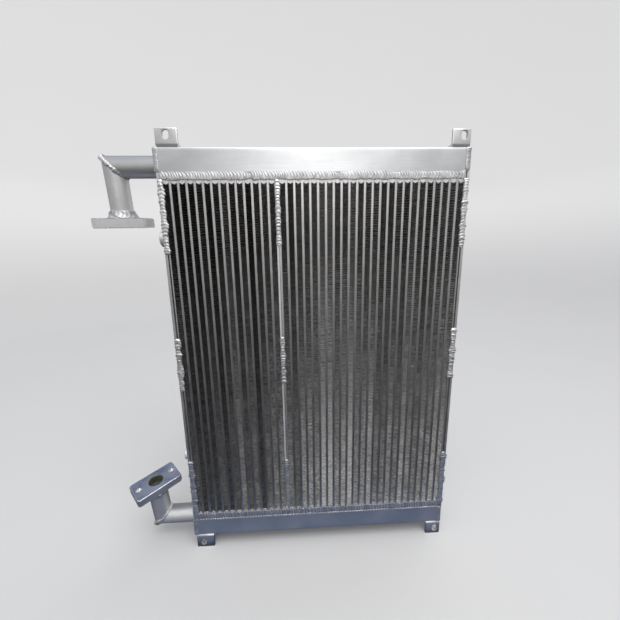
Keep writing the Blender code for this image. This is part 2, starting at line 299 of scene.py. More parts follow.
class Graph:
    """Makes and links the nodes of one tree. A value may be an output socket or a constant."""

    def __init__(self, tree):
        self.tree = tree

    def fill(self, node, inputs):
        for key, value in inputs.items():
            socket = node.inputs[key]
            if isinstance(value, bpy.types.NodeSocket):
                self.tree.links.new(value, socket)
            else:
                socket.default_value = (*value, 1.0) if socket.type == "RGBA" else value

    def node(self, kind, inputs={}, **settings):
        node = self.tree.nodes.new(kind)
        for key, value in settings.items():
            setattr(node, key, value)
        self.fill(node, inputs)
        return node

    def math(self, operation, *values):
        return self.node("ShaderNodeMath", dict(enumerate(values)), operation=operation).outputs[0]

    def plus(self, first, second):
        return self.math("ADD", first, second)

    def times(self, first, second):
        return self.math("MULTIPLY", first, second)

    def vector(self, operation, *values):
        return self.node("ShaderNodeVectorMath", dict(enumerate(values)), operation=operation)

    def dot(self, first, second):
        return self.vector("DOT_PRODUCT", first, second).outputs["Value"]

    def split(self, vector):
        return self.node("ShaderNodeSeparateXYZ", {0: vector}).outputs


class Material(Graph):
    """A material built round the Principled shader, textured by object coordinates."""

    def __init__(self, name):
        self.mat = bpy.data.materials.new(name)
        self.mat.use_nodes = True
        super().__init__(self.mat.node_tree)
        self.bsdf = self.tree.nodes["Principled BSDF"]
        self.coord = self.node("ShaderNodeTexCoord").outputs["Object"]

    def noise(self, scale, detail, rough=0.55, distort=0.0, shift=(0, 0, 0), rotate=(0, 0, 0)):
        """Noise; a scale of three numbers stretches it differently along each axis."""
        vector = self.coord
        if isinstance(scale, tuple):
            mapping = {"Scale": scale, "Location": shift, "Rotation": rotate, "Vector": vector}
            vector, scale = self.node("ShaderNodeMapping", mapping).outputs[0], 1.0
        inputs = {"Scale": scale, "Detail": detail, "Roughness": rough, "Distortion": distort}
        return self.node("ShaderNodeTexNoise", {**inputs, "Vector": vector}).outputs["Fac"]

    def remap(self, value, over, to=(0.0, 1.0), smooth=False):
        """Takes the range over to the range to, clamped."""
        names = ("From Min", "From Max", "To Min", "To Max")
        inputs = {**dict(zip(names, (*over, *to))), "Value": value}
        kind = "SMOOTHSTEP" if smooth else "LINEAR"
        node = self.node("ShaderNodeMapRange", inputs, clamp=True, interpolation_type=kind)
        return node.outputs["Result"]

    def mix(self, amount, first, second):
        inputs = {0: amount, 6: first, 7: second}
        return self.node("ShaderNodeMix", inputs, data_type="RGBA").outputs[2]

    def bumps(self, *pairs):
        """Chained bumps: each pair is a height socket and its size in metres."""
        inputs = {}
        for height, distance in pairs:
            inputs.update({"Strength": 1.0, "Distance": distance, "Height": height})
            inputs["Normal"] = self.node("ShaderNodeBump", inputs).outputs[0]
        self.surface({"Normal": inputs["Normal"]})

    def surface(self, inputs):
        self.fill(self.bsdf, inputs)
        return self.mat

    def done(self, colour, rough, metallic):
        return self.surface({"Base Color": colour, "Roughness": rough, "Metallic": metallic})


# ------------------------------------------------------------------ metals


def aluminium(
    name, light, dark, rough, grain=None, grain_depth=10e-6, blotch=18.0, scratches=0.35,
    metallic=1.0, dents=40e-6, specks=0.15, brush=None, painted_shade=None,
):
    """Bare aluminium: cloudy oxide, directional rolling grain, fine scratches, small dark specks.

    grain is a noise scale per axis, depths are metres, brush is (direction, amount) and painted_shade is
    (side it darkens, range of facing, strength, tint): painted shade on the faces turned that way.
    """
    mat = Material(name)
    cloud = mat.noise(blotch, detail=5.0, rough=0.6, distort=0.4)
    fine = mat.noise(blotch * 9, detail=3.0, rough=0.6)
    tone = mat.remap(cloud, over=(0.32, 0.7), smooth=True)
    tone = mat.plus(mat.times(tone, 0.75), mat.times(fine, 0.25))
    colour = mat.mix(tone, dark, light)
    roughness = mat.remap(cloud, over=(0.3, 0.72), to=rough)
    bumps = []
    if grain:
        lines = mat.noise(grain, detail=3.0, rough=0.65)
        amount = mat.remap(lines, over=(0.35, 0.68), to=(0.0, 0.28))
        colour = mat.mix(amount, colour, shade(dark, 0.72))
        roughness = mat.plus(roughness, mat.remap(lines, over=(0.3, 0.7), to=(-0.04, 0.05)))
        bumps.append((lines, grain_depth))
    if scratches:
        veins = mat.noise((60, 60, 60), detail=2.0, rough=0.5, distort=2.5, rotate=(0.4, 0.7, 0.3))
        off_vein = mat.math("ABSOLUTE", mat.math("SUBTRACT", veins, 0.5))
        line = mat.math("SUBTRACT", 1.0, mat.remap(off_vein, over=(0.0, 0.006)))
        where = mat.remap(mat.noise(26.0, detail=2.0), over=(0.5, 0.62))
        line = mat.times(line, mat.times(where, scratches))
        colour = mat.mix(line, colour, shade(light, 1.15))
        roughness = mat.plus(roughness, mat.times(line, 0.12))
    if specks:
        cells = mat.node("ShaderNodeTexVoronoi", {"Scale": 190.0, "Vector": mat.coord})
        spot = mat.remap(cells.outputs["Distance"], over=(0.0, 0.16), to=(1.0, 0.0))
        where = mat.remap(mat.noise(75.0, detail=2.0), over=(0.55, 0.66), to=(0.0, specks))
        spot = mat.times(spot, where)
        colour = mat.mix(spot, colour, (0.16, 0.15, 0.14))
        roughness = mat.plus(roughness, mat.times(spot, 0.25))
    bumps.append((mat.noise(30.0, detail=2.0, rough=0.5), dents))
    bumps.append((mat.noise(1400.0, detail=3.0, rough=0.6), 6e-6))
    if painted_shade:  # painted shade: a dull tint that deepens on faces turned towards one side
        side, facing, strength, tint = painted_shade
        towards = mat.dot(mat.node("ShaderNodeNewGeometry").outputs["Normal"], side)
        thick = mat.remap(towards, over=facing, to=(0.0, strength), smooth=True)
        thick = mat.times(thick, mat.remap(cloud, over=(0.3, 0.7), to=(0.85, 1.0)))
        colour = mat.mix(thick, colour, tint)
        roughness = mat.plus(roughness, mat.times(thick, 0.1))
    mat.bumps(*bumps)
    if brush:  # stretches the highlight, as rolling lines do across themselves
        direction, amount = brush
        tangent = mat.node("ShaderNodeCombineXYZ", dict(enumerate(direction))).outputs[0]
        mat.surface({"Tangent": tangent, "Anisotropic": amount})
    return mat.done(colour, roughness, metallic)


def weld_metal(name, light, dark, rough=(0.38, 0.52), soot_and_shade=0.55):
    """Fresh weld metal: bright crests, soot and painted shade in the hollows and at the toes, fine
    frosting.
    """
    mat = Material(name)
    cloud = mat.noise(60.0, detail=4.0, rough=0.6, distort=0.3)
    frost = mat.noise(900.0, detail=4.0, rough=0.65)
    colour = mat.mix(mat.remap(cloud, over=(0.36, 0.66), smooth=True), dark, light)
    amount = mat.remap(frost, over=(0.45, 0.75), to=(0.0, 0.35))
    colour = mat.mix(amount, colour, shade(dark, 0.6))
    roughness = mat.plus(
        mat.remap(cloud, over=(0.3, 0.7), to=rough[::-1]),
        mat.remap(frost, over=(0.3, 0.7), to=(-0.04, 0.06)),
    )
    hollow = mat.node("ShaderNodeAttribute", attribute_name="hollow").outputs["Fac"]
    # soot and painted shade: grey mixed in where the hollow attribute is high
    colour = mat.mix(mat.times(hollow, soot_and_shade), colour, (0.30, 0.30, 0.33))
    roughness = mat.plus(roughness, mat.times(hollow, 0.12))
    mat.bumps((cloud, 100e-6), (frost, 30e-6))
    return mat.done(colour, roughness, metallic=0.85)


def fin_metal(name, tone, metallic, blotches):
    """Thin fin sheet: dull and dusty at the face, with painted shade turning it nearly black further in
    and on faces that point neither up nor forward.
    """
    # painted shade: the near-black colour the fins are mixed towards where they would lie in shade
    painted_shade = shade((0.055, 0.05, 0.047), min(1.0, 0.35 + tone * 1.5))
    mat = Material(name)
    xyz = mat.split(mat.coord)
    place = mat.node("ShaderNodeObjectInfo").outputs["Location"]
    mat.coord = mat.vector("ADD", mat.coord, place).outputs[0]  # so that no two strips match
    cloud = mat.noise(22.0, detail=4.0, rough=0.6, distort=0.5)
    streak = mat.noise((700, 60, 900), detail=3.0, rough=0.6)
    light, dark = shade((0.90, 0.90, 0.90), tone), shade((0.66, 0.65, 0.64), tone)
    colour = mat.mix(mat.remap(cloud, over=(0.35, 0.68), smooth=True), dark, light)
    amount = mat.remap(streak, over=(0.42, 0.7), to=(0.0, 0.4))
    colour = mat.mix(amount, colour, shade((0.42, 0.40, 0.38), tone))
    patch = mat.noise((130, 40, 330), detail=2.0, rough=0.6, shift=(0.3, 0.1, 0.7))
    amount = mat.remap(patch, over=(0.39, 0.56), to=(blotches, 0.0))
    colour = mat.mix(amount, colour, shade((0.22, 0.21, 0.20), tone))
    depth = mat.math("ABSOLUTE", mat.math("SUBTRACT", xyz["Y"], float(ORIGIN[1])))
    facing = mat.split(mat.node("ShaderNodeNewGeometry").outputs["True Normal"])
    upward = mat.remap(facing["Z"], over=(0.15, 0.75))
    forward = mat.remap(facing["Y"], over=(-0.55, -0.9), to=(0.0, 0.5))
    # painted shade on faces that point neither up nor forward, and further into the channel
    lit_facing = mat.math("MAXIMUM", upward, forward)
    colour = mat.mix(mat.times(mat.math("SUBTRACT", 1.0, lit_facing), 0.8), colour, painted_shade)
    colour = mat.mix(mat.remap(depth, over=(0.0379, 0.0342), to=(0.0, 0.95)), colour, painted_shade)
    # darker round mid height, mixed towards the same painted shade colour
    middle = mat.math("ABSOLUTE", mat.math("SUBTRACT", xyz["Z"], float(ORIGIN[2]) + 0.40))
    colour = mat.mix(mat.remap(middle, over=(0.05, 0.19), to=(0.24, 0.0)), colour, painted_shade)
    roughness = mat.plus(
        mat.remap(cloud, over=(0.3, 0.7), to=(0.42, 0.56)),
        mat.remap(streak, over=(0.3, 0.7), to=(-0.05, 0.06)),
    )
    mat.bumps((streak, 20e-6), (mat.noise(1500.0, detail=3.0), 10e-6))
    mat.surface({"Specular IOR Level": 0.08})
    return mat.done(colour, roughness, metallic)


TANK = aluminium(
    "tank_mill_finish", light=(0.84, 0.85, 0.86), dark=(0.72, 0.73, 0.75), rough=(0.335, 0.41),
    grain=(14, 1700, 1700), grain_depth=14e-6, brush=((0, 0, 1), 0.4),
)
PLATE = aluminium(
    "plate_mill_finish", light=(0.84, 0.84, 0.83), dark=(0.72, 0.72, 0.72), rough=(0.42, 0.55),
    grain=(1500, 1500, 22), grain_depth=12e-6, specks=0.2,
)
TAB = aluminium(
    "tab_plate", light=(0.72, 0.71, 0.70), dark=(0.60, 0.60, 0.60), rough=(0.42, 0.55),
    grain=(1300, 1300, 40), grain_depth=12e-6, specks=0.25, scratches=0.6, metallic=0.35,
)
TAB_LOW = aluminium(
    "tab_plate_low", light=(0.86, 0.86, 0.86), dark=(0.74, 0.74, 0.75), rough=(0.34, 0.46),
    grain=(1300, 1300, 40), specks=0.3, scratches=0.6, dents=120e-6,
)
BAR = aluminium(
    "brazed_bar", light=(0.88, 0.87, 0.86), dark=(0.72, 0.71, 0.70), rough=(0.27, 0.37),
    grain=(1600, 1600, 12), grain_depth=15e-6, blotch=45.0, specks=0.35, brush=((1, 0, 0), 0.5),
)
PARTING = aluminium(
    "parting_sheet", light=(0.82, 0.81, 0.80), dark=(0.62, 0.61, 0.60), rough=(0.32, 0.44),
    blotch=60.0, specks=0.4,
)
CLOSER = aluminium(
    "closing_bar", light=(0.92, 0.91, 0.90), dark=(0.74, 0.73, 0.72), rough=(0.46, 0.58),
    blotch=70.0, specks=0.5, dents=80e-6, metallic=0.8,
)
EDGE = aluminium(
    "bright_edge", light=(0.93, 0.93, 0.93), dark=(0.84, 0.84, 0.84), rough=(0.2, 0.3),
    blotch=80.0, specks=0.0, scratches=0.0,
)
# painted shade darkens and cools the stub's upper front faces
STUB_HIGH = aluminium(
    "drawn_tube", light=(0.84, 0.83, 0.82), dark=(0.70, 0.70, 0.70), rough=(0.46, 0.58),
    grain=(16, 1500, 1500), metallic=0.72,
    painted_shade=((0, -0.35, 0.94), (0.1, 0.85), 0.78, (0.20, 0.22, 0.25)),
)
# painted shade darkens and cools the stub's upper faces
STUB_LOW = aluminium(
    "drawn_tube_low", light=(0.93, 0.92, 0.91), dark=(0.80, 0.80, 0.80), rough=(0.44, 0.56),
    grain=(16, 1500, 1500), metallic=0.72,
    painted_shade=((0, 0.1, 0.99), (0.45, 1.0), 0.8, (0.20, 0.22, 0.25)),
)
# painted shade and a painted blue reflection on the leg's left side
UPRIGHT_TUBE = aluminium(
    "drawn_tube_upright", light=(0.92, 0.91, 0.90), dark=(0.78, 0.78, 0.78), rough=(0.44, 0.56),
    grain=(1500, 1500, 16), metallic=0.78,
    painted_shade=((-0.98, 0.1, 0), (0.1, 0.95), 0.7, (0.24, 0.28, 0.37)),
)
# darkened and blued: painted shade and a painted blue reflection on the flanges' milled faces
MILLED = aluminium(
    "milled_face", light=(0.66, 0.69, 0.76), dark=(0.52, 0.55, 0.62), rough=(0.26, 0.36),
    grain=(40, 1300, 1300), grain_depth=12e-6, blotch=30.0,
)
SAWN = aluminium(
    "sawn_side", light=(0.92, 0.92, 0.92), dark=(0.76, 0.76, 0.77), rough=(0.42, 0.56),
    grain=(30, 30, 1500), grain_depth=20e-6, blotch=30.0, metallic=0.4,
)
# a darker, bluer copy of sawn_side for the lower flange: painted shade and a painted blue reflection
SAWN_LOW = aluminium(
    "sawn_side_low", light=(0.60, 0.62, 0.68), dark=(0.46, 0.48, 0.54), rough=(0.42, 0.56),
    grain=(30, 30, 1500), grain_depth=20e-6, blotch=30.0, metallic=0.75,
)
# painted shade: the bore is coloured near black, as the hole looks
BORE = aluminium(
    "dull_bore", light=(0.24, 0.25, 0.19), dark=(0.13, 0.14, 0.10), rough=(0.45, 0.6),
    blotch=90.0, specks=0.2, scratches=0.0, metallic=0.6,
)
MIDPLATE = aluminium(
    "middle_plate", light=(0.96, 0.96, 0.96), dark=(0.84, 0.84, 0.85), rough=(0.42, 0.55),
    grain=(1500, 1500, 30), grain_depth=12e-6, specks=0.25, metallic=0.5,
)
WELD = weld_metal("weld_bead", light=(0.97, 0.96, 0.95), dark=(0.76, 0.76, 0.77))
WELD_PALE = weld_metal(
    "weld_bead_pale", light=(0.95, 0.94, 0.93), dark=(0.74, 0.74, 0.75), rough=(0.4, 0.54), soot_and_shade=0.35
)
# darker, bluer weld copies for the lowest welds: painted shade and a painted blue reflection from below
WELD_LOW = weld_metal(
    "weld_bead_low", light=(0.82, 0.85, 0.93), dark=(0.58, 0.61, 0.70), rough=(0.34, 0.48), soot_and_shade=0.85
)
WELD_FOOT = weld_metal(
    "weld_bead_foot", light=(0.74, 0.78, 0.88), dark=(0.50, 0.54, 0.64), rough=(0.36, 0.5), soot_and_shade=0.7
)
WELD_PORT = weld_metal(
    "weld_bead_port", light=(0.78, 0.78, 0.79), dark=(0.52, 0.52, 0.55), rough=(0.52, 0.66), soot_and_shade=0.6
)
WELD_DULL = weld_metal(
    "weld_bead_dull", light=(0.80, 0.80, 0.81), dark=(0.52, 0.52, 0.54), rough=(0.3, 0.46)
)
# brightness, metallic, strength of dark blotches; the lowest brightnesses are partly painted shade, for
# channels that look deep and dark
FIN_TONES = (
    (0.11, 0.3, 0.72), (0.24, 0.3, 0.72), (0.42, 0.3, 0.72), (0.62, 0.3, 0.72),
    (0.88, 0.3, 0.72), (1.16, 0.3, 0.66), (1.12, 0.0, 0.6), (1.42, 0.0, 0.42),
)
FINS = [fin_metal(f"folded_fin_sheet_{i}", *tone) for i, tone in enumerate(FIN_TONES)]

# ------------------------------------------------------------------ weld beads

BEAD_STEP = 0.55


def hollows(mesh, values):
    """Remembers how deep in a ripple's groove each vertex lies, for the weld material."""
    layer = mesh.attributes.new("hollow", "FLOAT", "POINT")
    layer.data.foreach_set("value", np.asarray(values, np.float32))


def ripple_wave(part, rise, drop):
    """Height within one ripple, part 0 to 1: a quick rise over the share rise, then a slow fall."""
    slope = np.where(part < rise, part / rise, (1 - part) / (1 - rise))
    return np.sin(slope * math.pi / 2) - drop


def seam_frame(path, normals, closed):
    """Even stations on a seam: points, normals, sideways directions, distances, length."""
    path = np.asarray(path, float)
    stations = np.hstack([path, np.broadcast_to(np.asarray(normals, float), path.shape)])
    if closed:
        stations = np.vstack([stations, stations[:1]])
    dist = np.r_[0, np.cumsum(np.linalg.norm(np.diff(stations, axis=0), axis=1))]
    length = dist[-1]
    along = np.linspace(0, length, max(3, int(round(length / BEAD_STEP))) + 1)
    if closed:
        along = along[:-1]
    both = np.stack([np.interp(along, dist, column) for column in stations.T], 1)
    points, normals = both[:, :3], both[:, 3:]
    if closed:
        ahead = unit(np.roll(points, -1, 0) - np.roll(points, 1, 0))
    else:
        ahead = unit(np.gradient(points, axis=0))
    normals = unit(normals - (normals * ahead).sum(1)[:, None] * ahead)
    return points, normals, np.cross(ahead, normals), along, length


def bead_shape(
    path, normals, width, height, pitch, seed, closed=False, sink=1.2, columns=9, curve=0.45,
    ripple=0.42, ragged=0.07, ends=4.0, lumps=(), rough=0.1, slopes=(0.75, 0.75), wander=1.0,
    toes=(0.5, 0.5), shades=1.0,
):
    """A hand-laid bead: overlapping crescent ripples, uneven in width, height and pitch.

    sink is how far its underside goes below the path, curve bows the ripples, ends is the length
    of a tapered end, lumps are (place, half width, gain). slopes are the edges' roundness and toes
    their soot and painted shadow line, one for each side. Returns vertices, faces and hollow values.
    """
    points, normals, sideways, along, length = seam_frame(path, normals, closed)
    rng = np.random.default_rng(seed)
    if closed:  # a whole number of ripples, and noise that joins up
        whole = max(3, round(length / pitch))
        pitch = length / whole
        turn = along / length * 2 * math.pi

        def swell(cycles):
            return 0.5 * np.sin(turn * cycles + rng.uniform(0, 6))

        slow = swell(2) + swell(5)
        quick = swell(3) + swell(7)
        warp = 0.6 * pitch * swell(4)
        grow = np.ones_like(along)
    else:
        slow = waves(along, seed + 1, base=0.045)
        quick = waves(along, seed + 2, base=0.13)
        warp = 0.55 * pitch * waves(along, seed + 3, base=0.25 / pitch)
        end = np.clip(np.minimum(along, length - along) / ends, 0, 1)
        grow = np.sqrt(np.clip(1 - (1 - end) ** 2, 0, 1)) * 0.93 + 0.07
    bump = np.zeros_like(along)
    for place, size, gain in lumps:
        bump += gain * np.exp(-(((along - place) / size) ** 2))
    theta = np.linspace(-math.pi / 2, math.pi / 2, columns)
    across, rise = np.sin(theta), np.cos(theta)
    total = int(length / pitch) + 14
    amp = rng.uniform(0.35, 1.6, total)
    offset = rng.uniform(-0.5, 0.5, total)
    bow = curve * width / 2 / pitch * (across**2)[None, :]
    phase = (along + warp)[:, None] / pitch + bow + 2
    cell = np.floor(phase).astype(int)
    cell = cell % whole if closed else np.clip(cell, 0, total - 1)
    wave = ripple_wave(phase - np.floor(phase), rise=0.22, drop=0.55)
    half = (
        width
        / 2
        * (1 + ragged * quick + 0.35 * bump)[:, None]
        * (1 + ragged * 0.9 * wave + ragged * offset[cell])
        * (0.35 + 0.65 * grow)[:, None]
    )
    crown = np.where(across < 0, rise ** slopes[0], rise ** slopes[1])
    up = height * (1 + 0.12 * slow + bump)[:, None] * crown * grow[:, None]
    up = up + ripple * wave * amp[cell] * crown**0.8 * grow[:, None]
    up += rough * waves2(along[:, None], across * width / 2, seed + 5, base=1.3) * rise
    drift = (0.22 * quick + 0.15 * slow)[:, None] * wander
    skin = (
        points[:, None, :]
        + sideways[:, None, :] * (half * across + drift)[..., None]
        + normals[:, None, :] * up[..., None]
    )
    foot = 0.9 * half[:, :1]
    feet = [points - normals * sink + sideways * (reach + drift) for reach in (foot, -foot)]
    rings = np.concatenate([skin, np.stack(feet, 1)], 1)
    tint = rng.uniform(-0.12, 0.3, total)
    tint += 0.15 * waves(np.arange(total), seed + 7, base=0.8)
    # soot and painted shade: dark grooves between ripples, dark toes as a painted shadow line, random
    # tint per ripple
    toe = np.where(across < 0, *toes) * np.clip((np.abs(across) - 0.72) / 0.18, 0, 1)
    groove = np.clip(1.0 - (wave + 0.55) * 1.55, 0, 1) * np.clip(amp[cell], 0.6, 1.2)
    groove = groove * 0.85 * min(1.35, shades + 0.3) + shades * tint[cell] + toe
    hollow = np.concatenate([np.clip(groove, 0, 1.2), np.full((len(points), 2), 0.6)], 1)
    return *loft(rings, wrap=closed), hollow.reshape(-1)


def bead(name, path, normals, slot="tanks", mat=WELD, **shape):
    verts, faces, hollow = bead_shape(path, normals, **shape)
    obj = put(name, verts, faces, [mat], slot, smooth=60)
    hollows(obj.data, hollow)


def ring_bead(name, centre, radius, count, **shape):
    """A closed bead round an X axis, leaning 45 degrees to the left."""
    out = spokes((1, 0, 0), count)
    bead(name, centre + out * radius, unit(out - (1, 0, 0)), closed=True, **shape)


# ------------------------------------------------------------------ core blocks

CORE_METALS = [BAR, CLOSER, EDGE, PLATE, PARTING, MIDPLATE]
MIDDLE_PLATE_X = (-70, -66)  # an end plate starting between these is the middle one


def prism_y(outline, y0, y1, cut, body, edge):
    """An (x, z) outline pushed along Y with chamfered ends, and a metal for each face."""
    outline = np.asarray(outline, float)
    mid = outline.mean(0)
    away = outline - mid
    small = mid + away * np.maximum(1 - cut / np.maximum(np.abs(away).max(0), 1e-6), 0.2)
    rings = [
        np.insert(ring, 1, y, axis=1)
        for ring, y in ((small, y0), (outline, y0 + cut), (outline, y1 - cut), (small, y1))
    ]
    edge, body = CORE_METALS.index(edge), CORE_METALS.index(body)
    size = len(outline)
    return *loft(rings), [edge] * size + [body] * size + [edge] * size + [body] * 2


def upright(x0, x1, y0, y1, **finish):
    """A chamfered bar or sheet over the core's full height."""
    outline = [(x0, Z_CORE0), (x1, Z_CORE0), (x1, Z_CORE1), (x0, Z_CORE1)]
    return prism_y(outline, y0, y1, **finish)


def nose_outline(x0, x1, z_out, z_in, sign):
    mid = (x0 + x1) / 2
    return [
        (x0, z_out),
        (x1, z_out),
        (x1, z_in),
        (mid + 2.8, z_in + sign * 0.2),
        (mid + 0.6, z_in + sign * NOSE),
        (mid - 0.6, z_in + sign * NOSE),
        (mid - 2.8, z_in + sign * 0.2),
        (x0, z_in),
    ]


def core_block(side, x_first, count):
    """Parting sheets, face bars, closing bars and end plates of one brazed block."""
    node = f"passages_{side}"
    block = Soup()
    lo, hi = span(node)
    rng = np.random.default_rng(count)
    front, rear = -HALF_D, HALF_D
    width = count * FIN_W + (count - 1) * PASS_W
    for x0, x1 in ((lo[0], x_first), (x_first + width, hi[0])):
        body = MIDPLATE if MIDDLE_PLATE_X[0] < x0 < MIDDLE_PLATE_X[1] else PLATE
        block.add(*upright(x0, x1, front, rear, cut=0.35, body=body, edge=EDGE))
    for i in range(count):
        x0 = x_first + i * PITCH
        x1 = x0 + FIN_W
        back = 0.22 + 0.18 * rng.random()
        for z_out, z_in, sign in ((Z_CORE0, Z_FIN0, 1), (Z_CORE1, Z_FIN1, -1)):
            z_in = z_in + rng.normal(0, 0.12)
            outline = nose_outline(x0 + 0.02, x1 - 0.02, z_out, z_in, sign)
            bar = prism_y(outline, front + back, rear - back, cut=0.3, body=CLOSER, edge=EDGE)
            block.add(*bar)
        if i == count - 1:
            continue
        x2 = x1 + PASS_W
        for xa, xb in ((x1, x1 + SHEET), (x2 - SHEET, x2)):
            y0 = front + 0.05 + 0.12 * rng.random()
            block.add(*upright(xa, xb, y0, rear - 0.1, cut=0.12, body=PARTING, edge=BAR))
        bars = (
            (front + 0.12 + 0.22 * rng.random(), front + 8.0),
            (rear - 8.0, rear - 0.15 - 0.2 * rng.random()),
        )
        xa, xb = x1 + SHEET + 0.02, x2 - SHEET - 0.02
        for y0, y1 in bars:
            block.add(*upright(xa, xb, y0, y1, cut=0.32, body=BAR, edge=EDGE))
    block.put(f"core_block_{side}", CORE_METALS, "core", 35, node)


core_block("left", X_L0, COUNT_L)
core_block("right", X_R0, COUNT_R)

# ------------------------------------------------------------------ folded air fins

STRIP_TUCK = 7.0  # how far each strip's ends run in between the closing bars
RUNG = 2.1
FOLD_CUT = 0.42
# front, rear, upward shift of each row
FIN_ROWS = (
    (-HALF_D + 0.9, -HALF_D + 7.4, 0.0),
    (-HALF_D + 7.6, HALF_D - 7.6, 1.05),
    (HALF_D - 7.4, HALF_D - 0.9, 0.0),
)
# how bright each strip is, left to right: a tone that differs from strip to strip, the darkest partly
# painted shade for channels that look deep and dark
STRIP_TONES = "21112124231344435557756755644546545566"


def fin_row(y0, y1, shift, seed, thick, bent):
    """One lanced row of the strip: a serpentine sheet from the channel's foot to its head."""
    rng = np.random.default_rng(seed)
    left, right = 0.12, FIN_W - 0.12
    path = []
    z = Z_FIN0 - STRIP_TUCK + shift
    k = 0
    while z + RUNG < Z_FIN1 + STRIP_TUCK:
        start, end = (left, right) if k % 2 == 0 else (right, left)
        cut = FOLD_CUT if end > start else -FOLD_CUT
        tip0, tip1 = np.clip(rng.normal(0, 0.27, 2), -0.7, 0.7)
        if bent:
            path += [(start, z + tip0), (end, z + tip1)]
        else:
            path += [(start + cut, z + tip0), (end - cut, z + tip1)]
            path += [(end, z + tip1 + FOLD_CUT), (end, z + RUNG - FOLD_CUT)]
        z += RUNG
        k += 1
    path = np.array(path)
    along = unit(np.gradient(path, axis=0))
    normal = np.stack([-along[:, 1], along[:, 0]], 1)
    upper, lower = path + normal * thick / 2, path - normal * thick / 2
    heights = path[:, 1]
    lean = 0.34 * waves(heights, seed + 9, base=0.85) + rng.normal(0, 0.08, len(path))
    front = y0 + 0.12 * waves(heights, seed + 3, base=0.9) + 0.1
    stations = [(front, lean), (np.full(len(path), y1), 0.0)]
    if bent:  # the long middle row bends in depth, so nothing shows through
        stations.insert(1, (np.full(len(path), y0 + (y1 - y0) / 2), 2.6))
    rings = [np.stack([lower[:, 0], y, lower[:, 1] + rise], 1) for y, rise in stations]
    rings += [np.stack([upper[:, 0], y, upper[:, 1] + rise], 1) for y, rise in stations[::-1]]
    return loft(np.stack(rings, 1))


def fin_strip(variant):
    strip = Soup()
    for j, (y0, y1, shift) in enumerate(FIN_ROWS):
        shift += 0.35 * variant % 1.0
        seed = 900 + variant * 17 + j * 5
        strip.add(*fin_row(y0, y1, shift, seed, thick=0.26 if variant == 7 else 0.2, bent=j == 1))
    mesh = solid_mesh(f"fin_strip_{variant}", *strip.joined(), [FINS[variant]])
    smooth_mesh(mesh, 50)
    return mesh


def place_fins():
    rng = np.random.default_rng(494)
    strips = [fin_strip(variant) for variant in range(len(FINS))]
    for i, tone in enumerate(STRIP_TONES):
        x0 = X_L0 + i * PITCH if i < COUNT_L else X_R0 + (i - COUNT_L) * PITCH
        obj = link_object(f"folded_fin_{i + 1:02d}", strips[int(tone)])
        slide = rng.uniform(-5.5, 5.5)
        if rng.random() < 0.5:
            obj.location = (x0 * MM, 0, slide * MM)
        else:  # this one went in the other way up
            obj.rotation_euler = (0.0, math.pi, 0.0)
            z = 2 * ORIGIN[2] + (Z_FIN0 + Z_FIN1 + slide) * MM
            obj.location = (2 * ORIGIN[0] + (x0 + FIN_W) * MM, 0, z)
        register(obj, f"air_fin_{i + 1:02d}")


place_fins()

# ------------------------------------------------------------------ side plates


def side_bar(side, phase):
    """A chamfered upright plate, slightly wavy along its height."""
    node = f"side_plate_{side}"
    lo, hi = span(node)
    steps, cut = 60, 0.5
    y0, y1 = lo[1], hi[1]
    rings = []
    for z in np.linspace(lo[2], hi[2], steps + 1):
        wobble = 0.1 * math.sin(z * 0.021 + phase)
        x0, x1 = lo[0] + wobble, hi[0] + wobble
        ring = (
            (x0 + cut, y0), (x1 - cut, y0), (x1, y0 + cut), (x1, y1 - cut),
            (x1 - cut, y1), (x0 + cut, y1), (x0, y1 - cut), (x0, y0 + cut),
        )
        rings.append([(x, y, z) for x, y in ring])
    index = [0, 1] * 4 * steps + [0, 0]
    put(f"side_bar_{side}", *loft(rings), [PLATE, EDGE], "plates", 30, node, index)


side_bar("left", phase=1)
side_bar("right", phase=3)

# ------------------------------------------------------------------ tanks


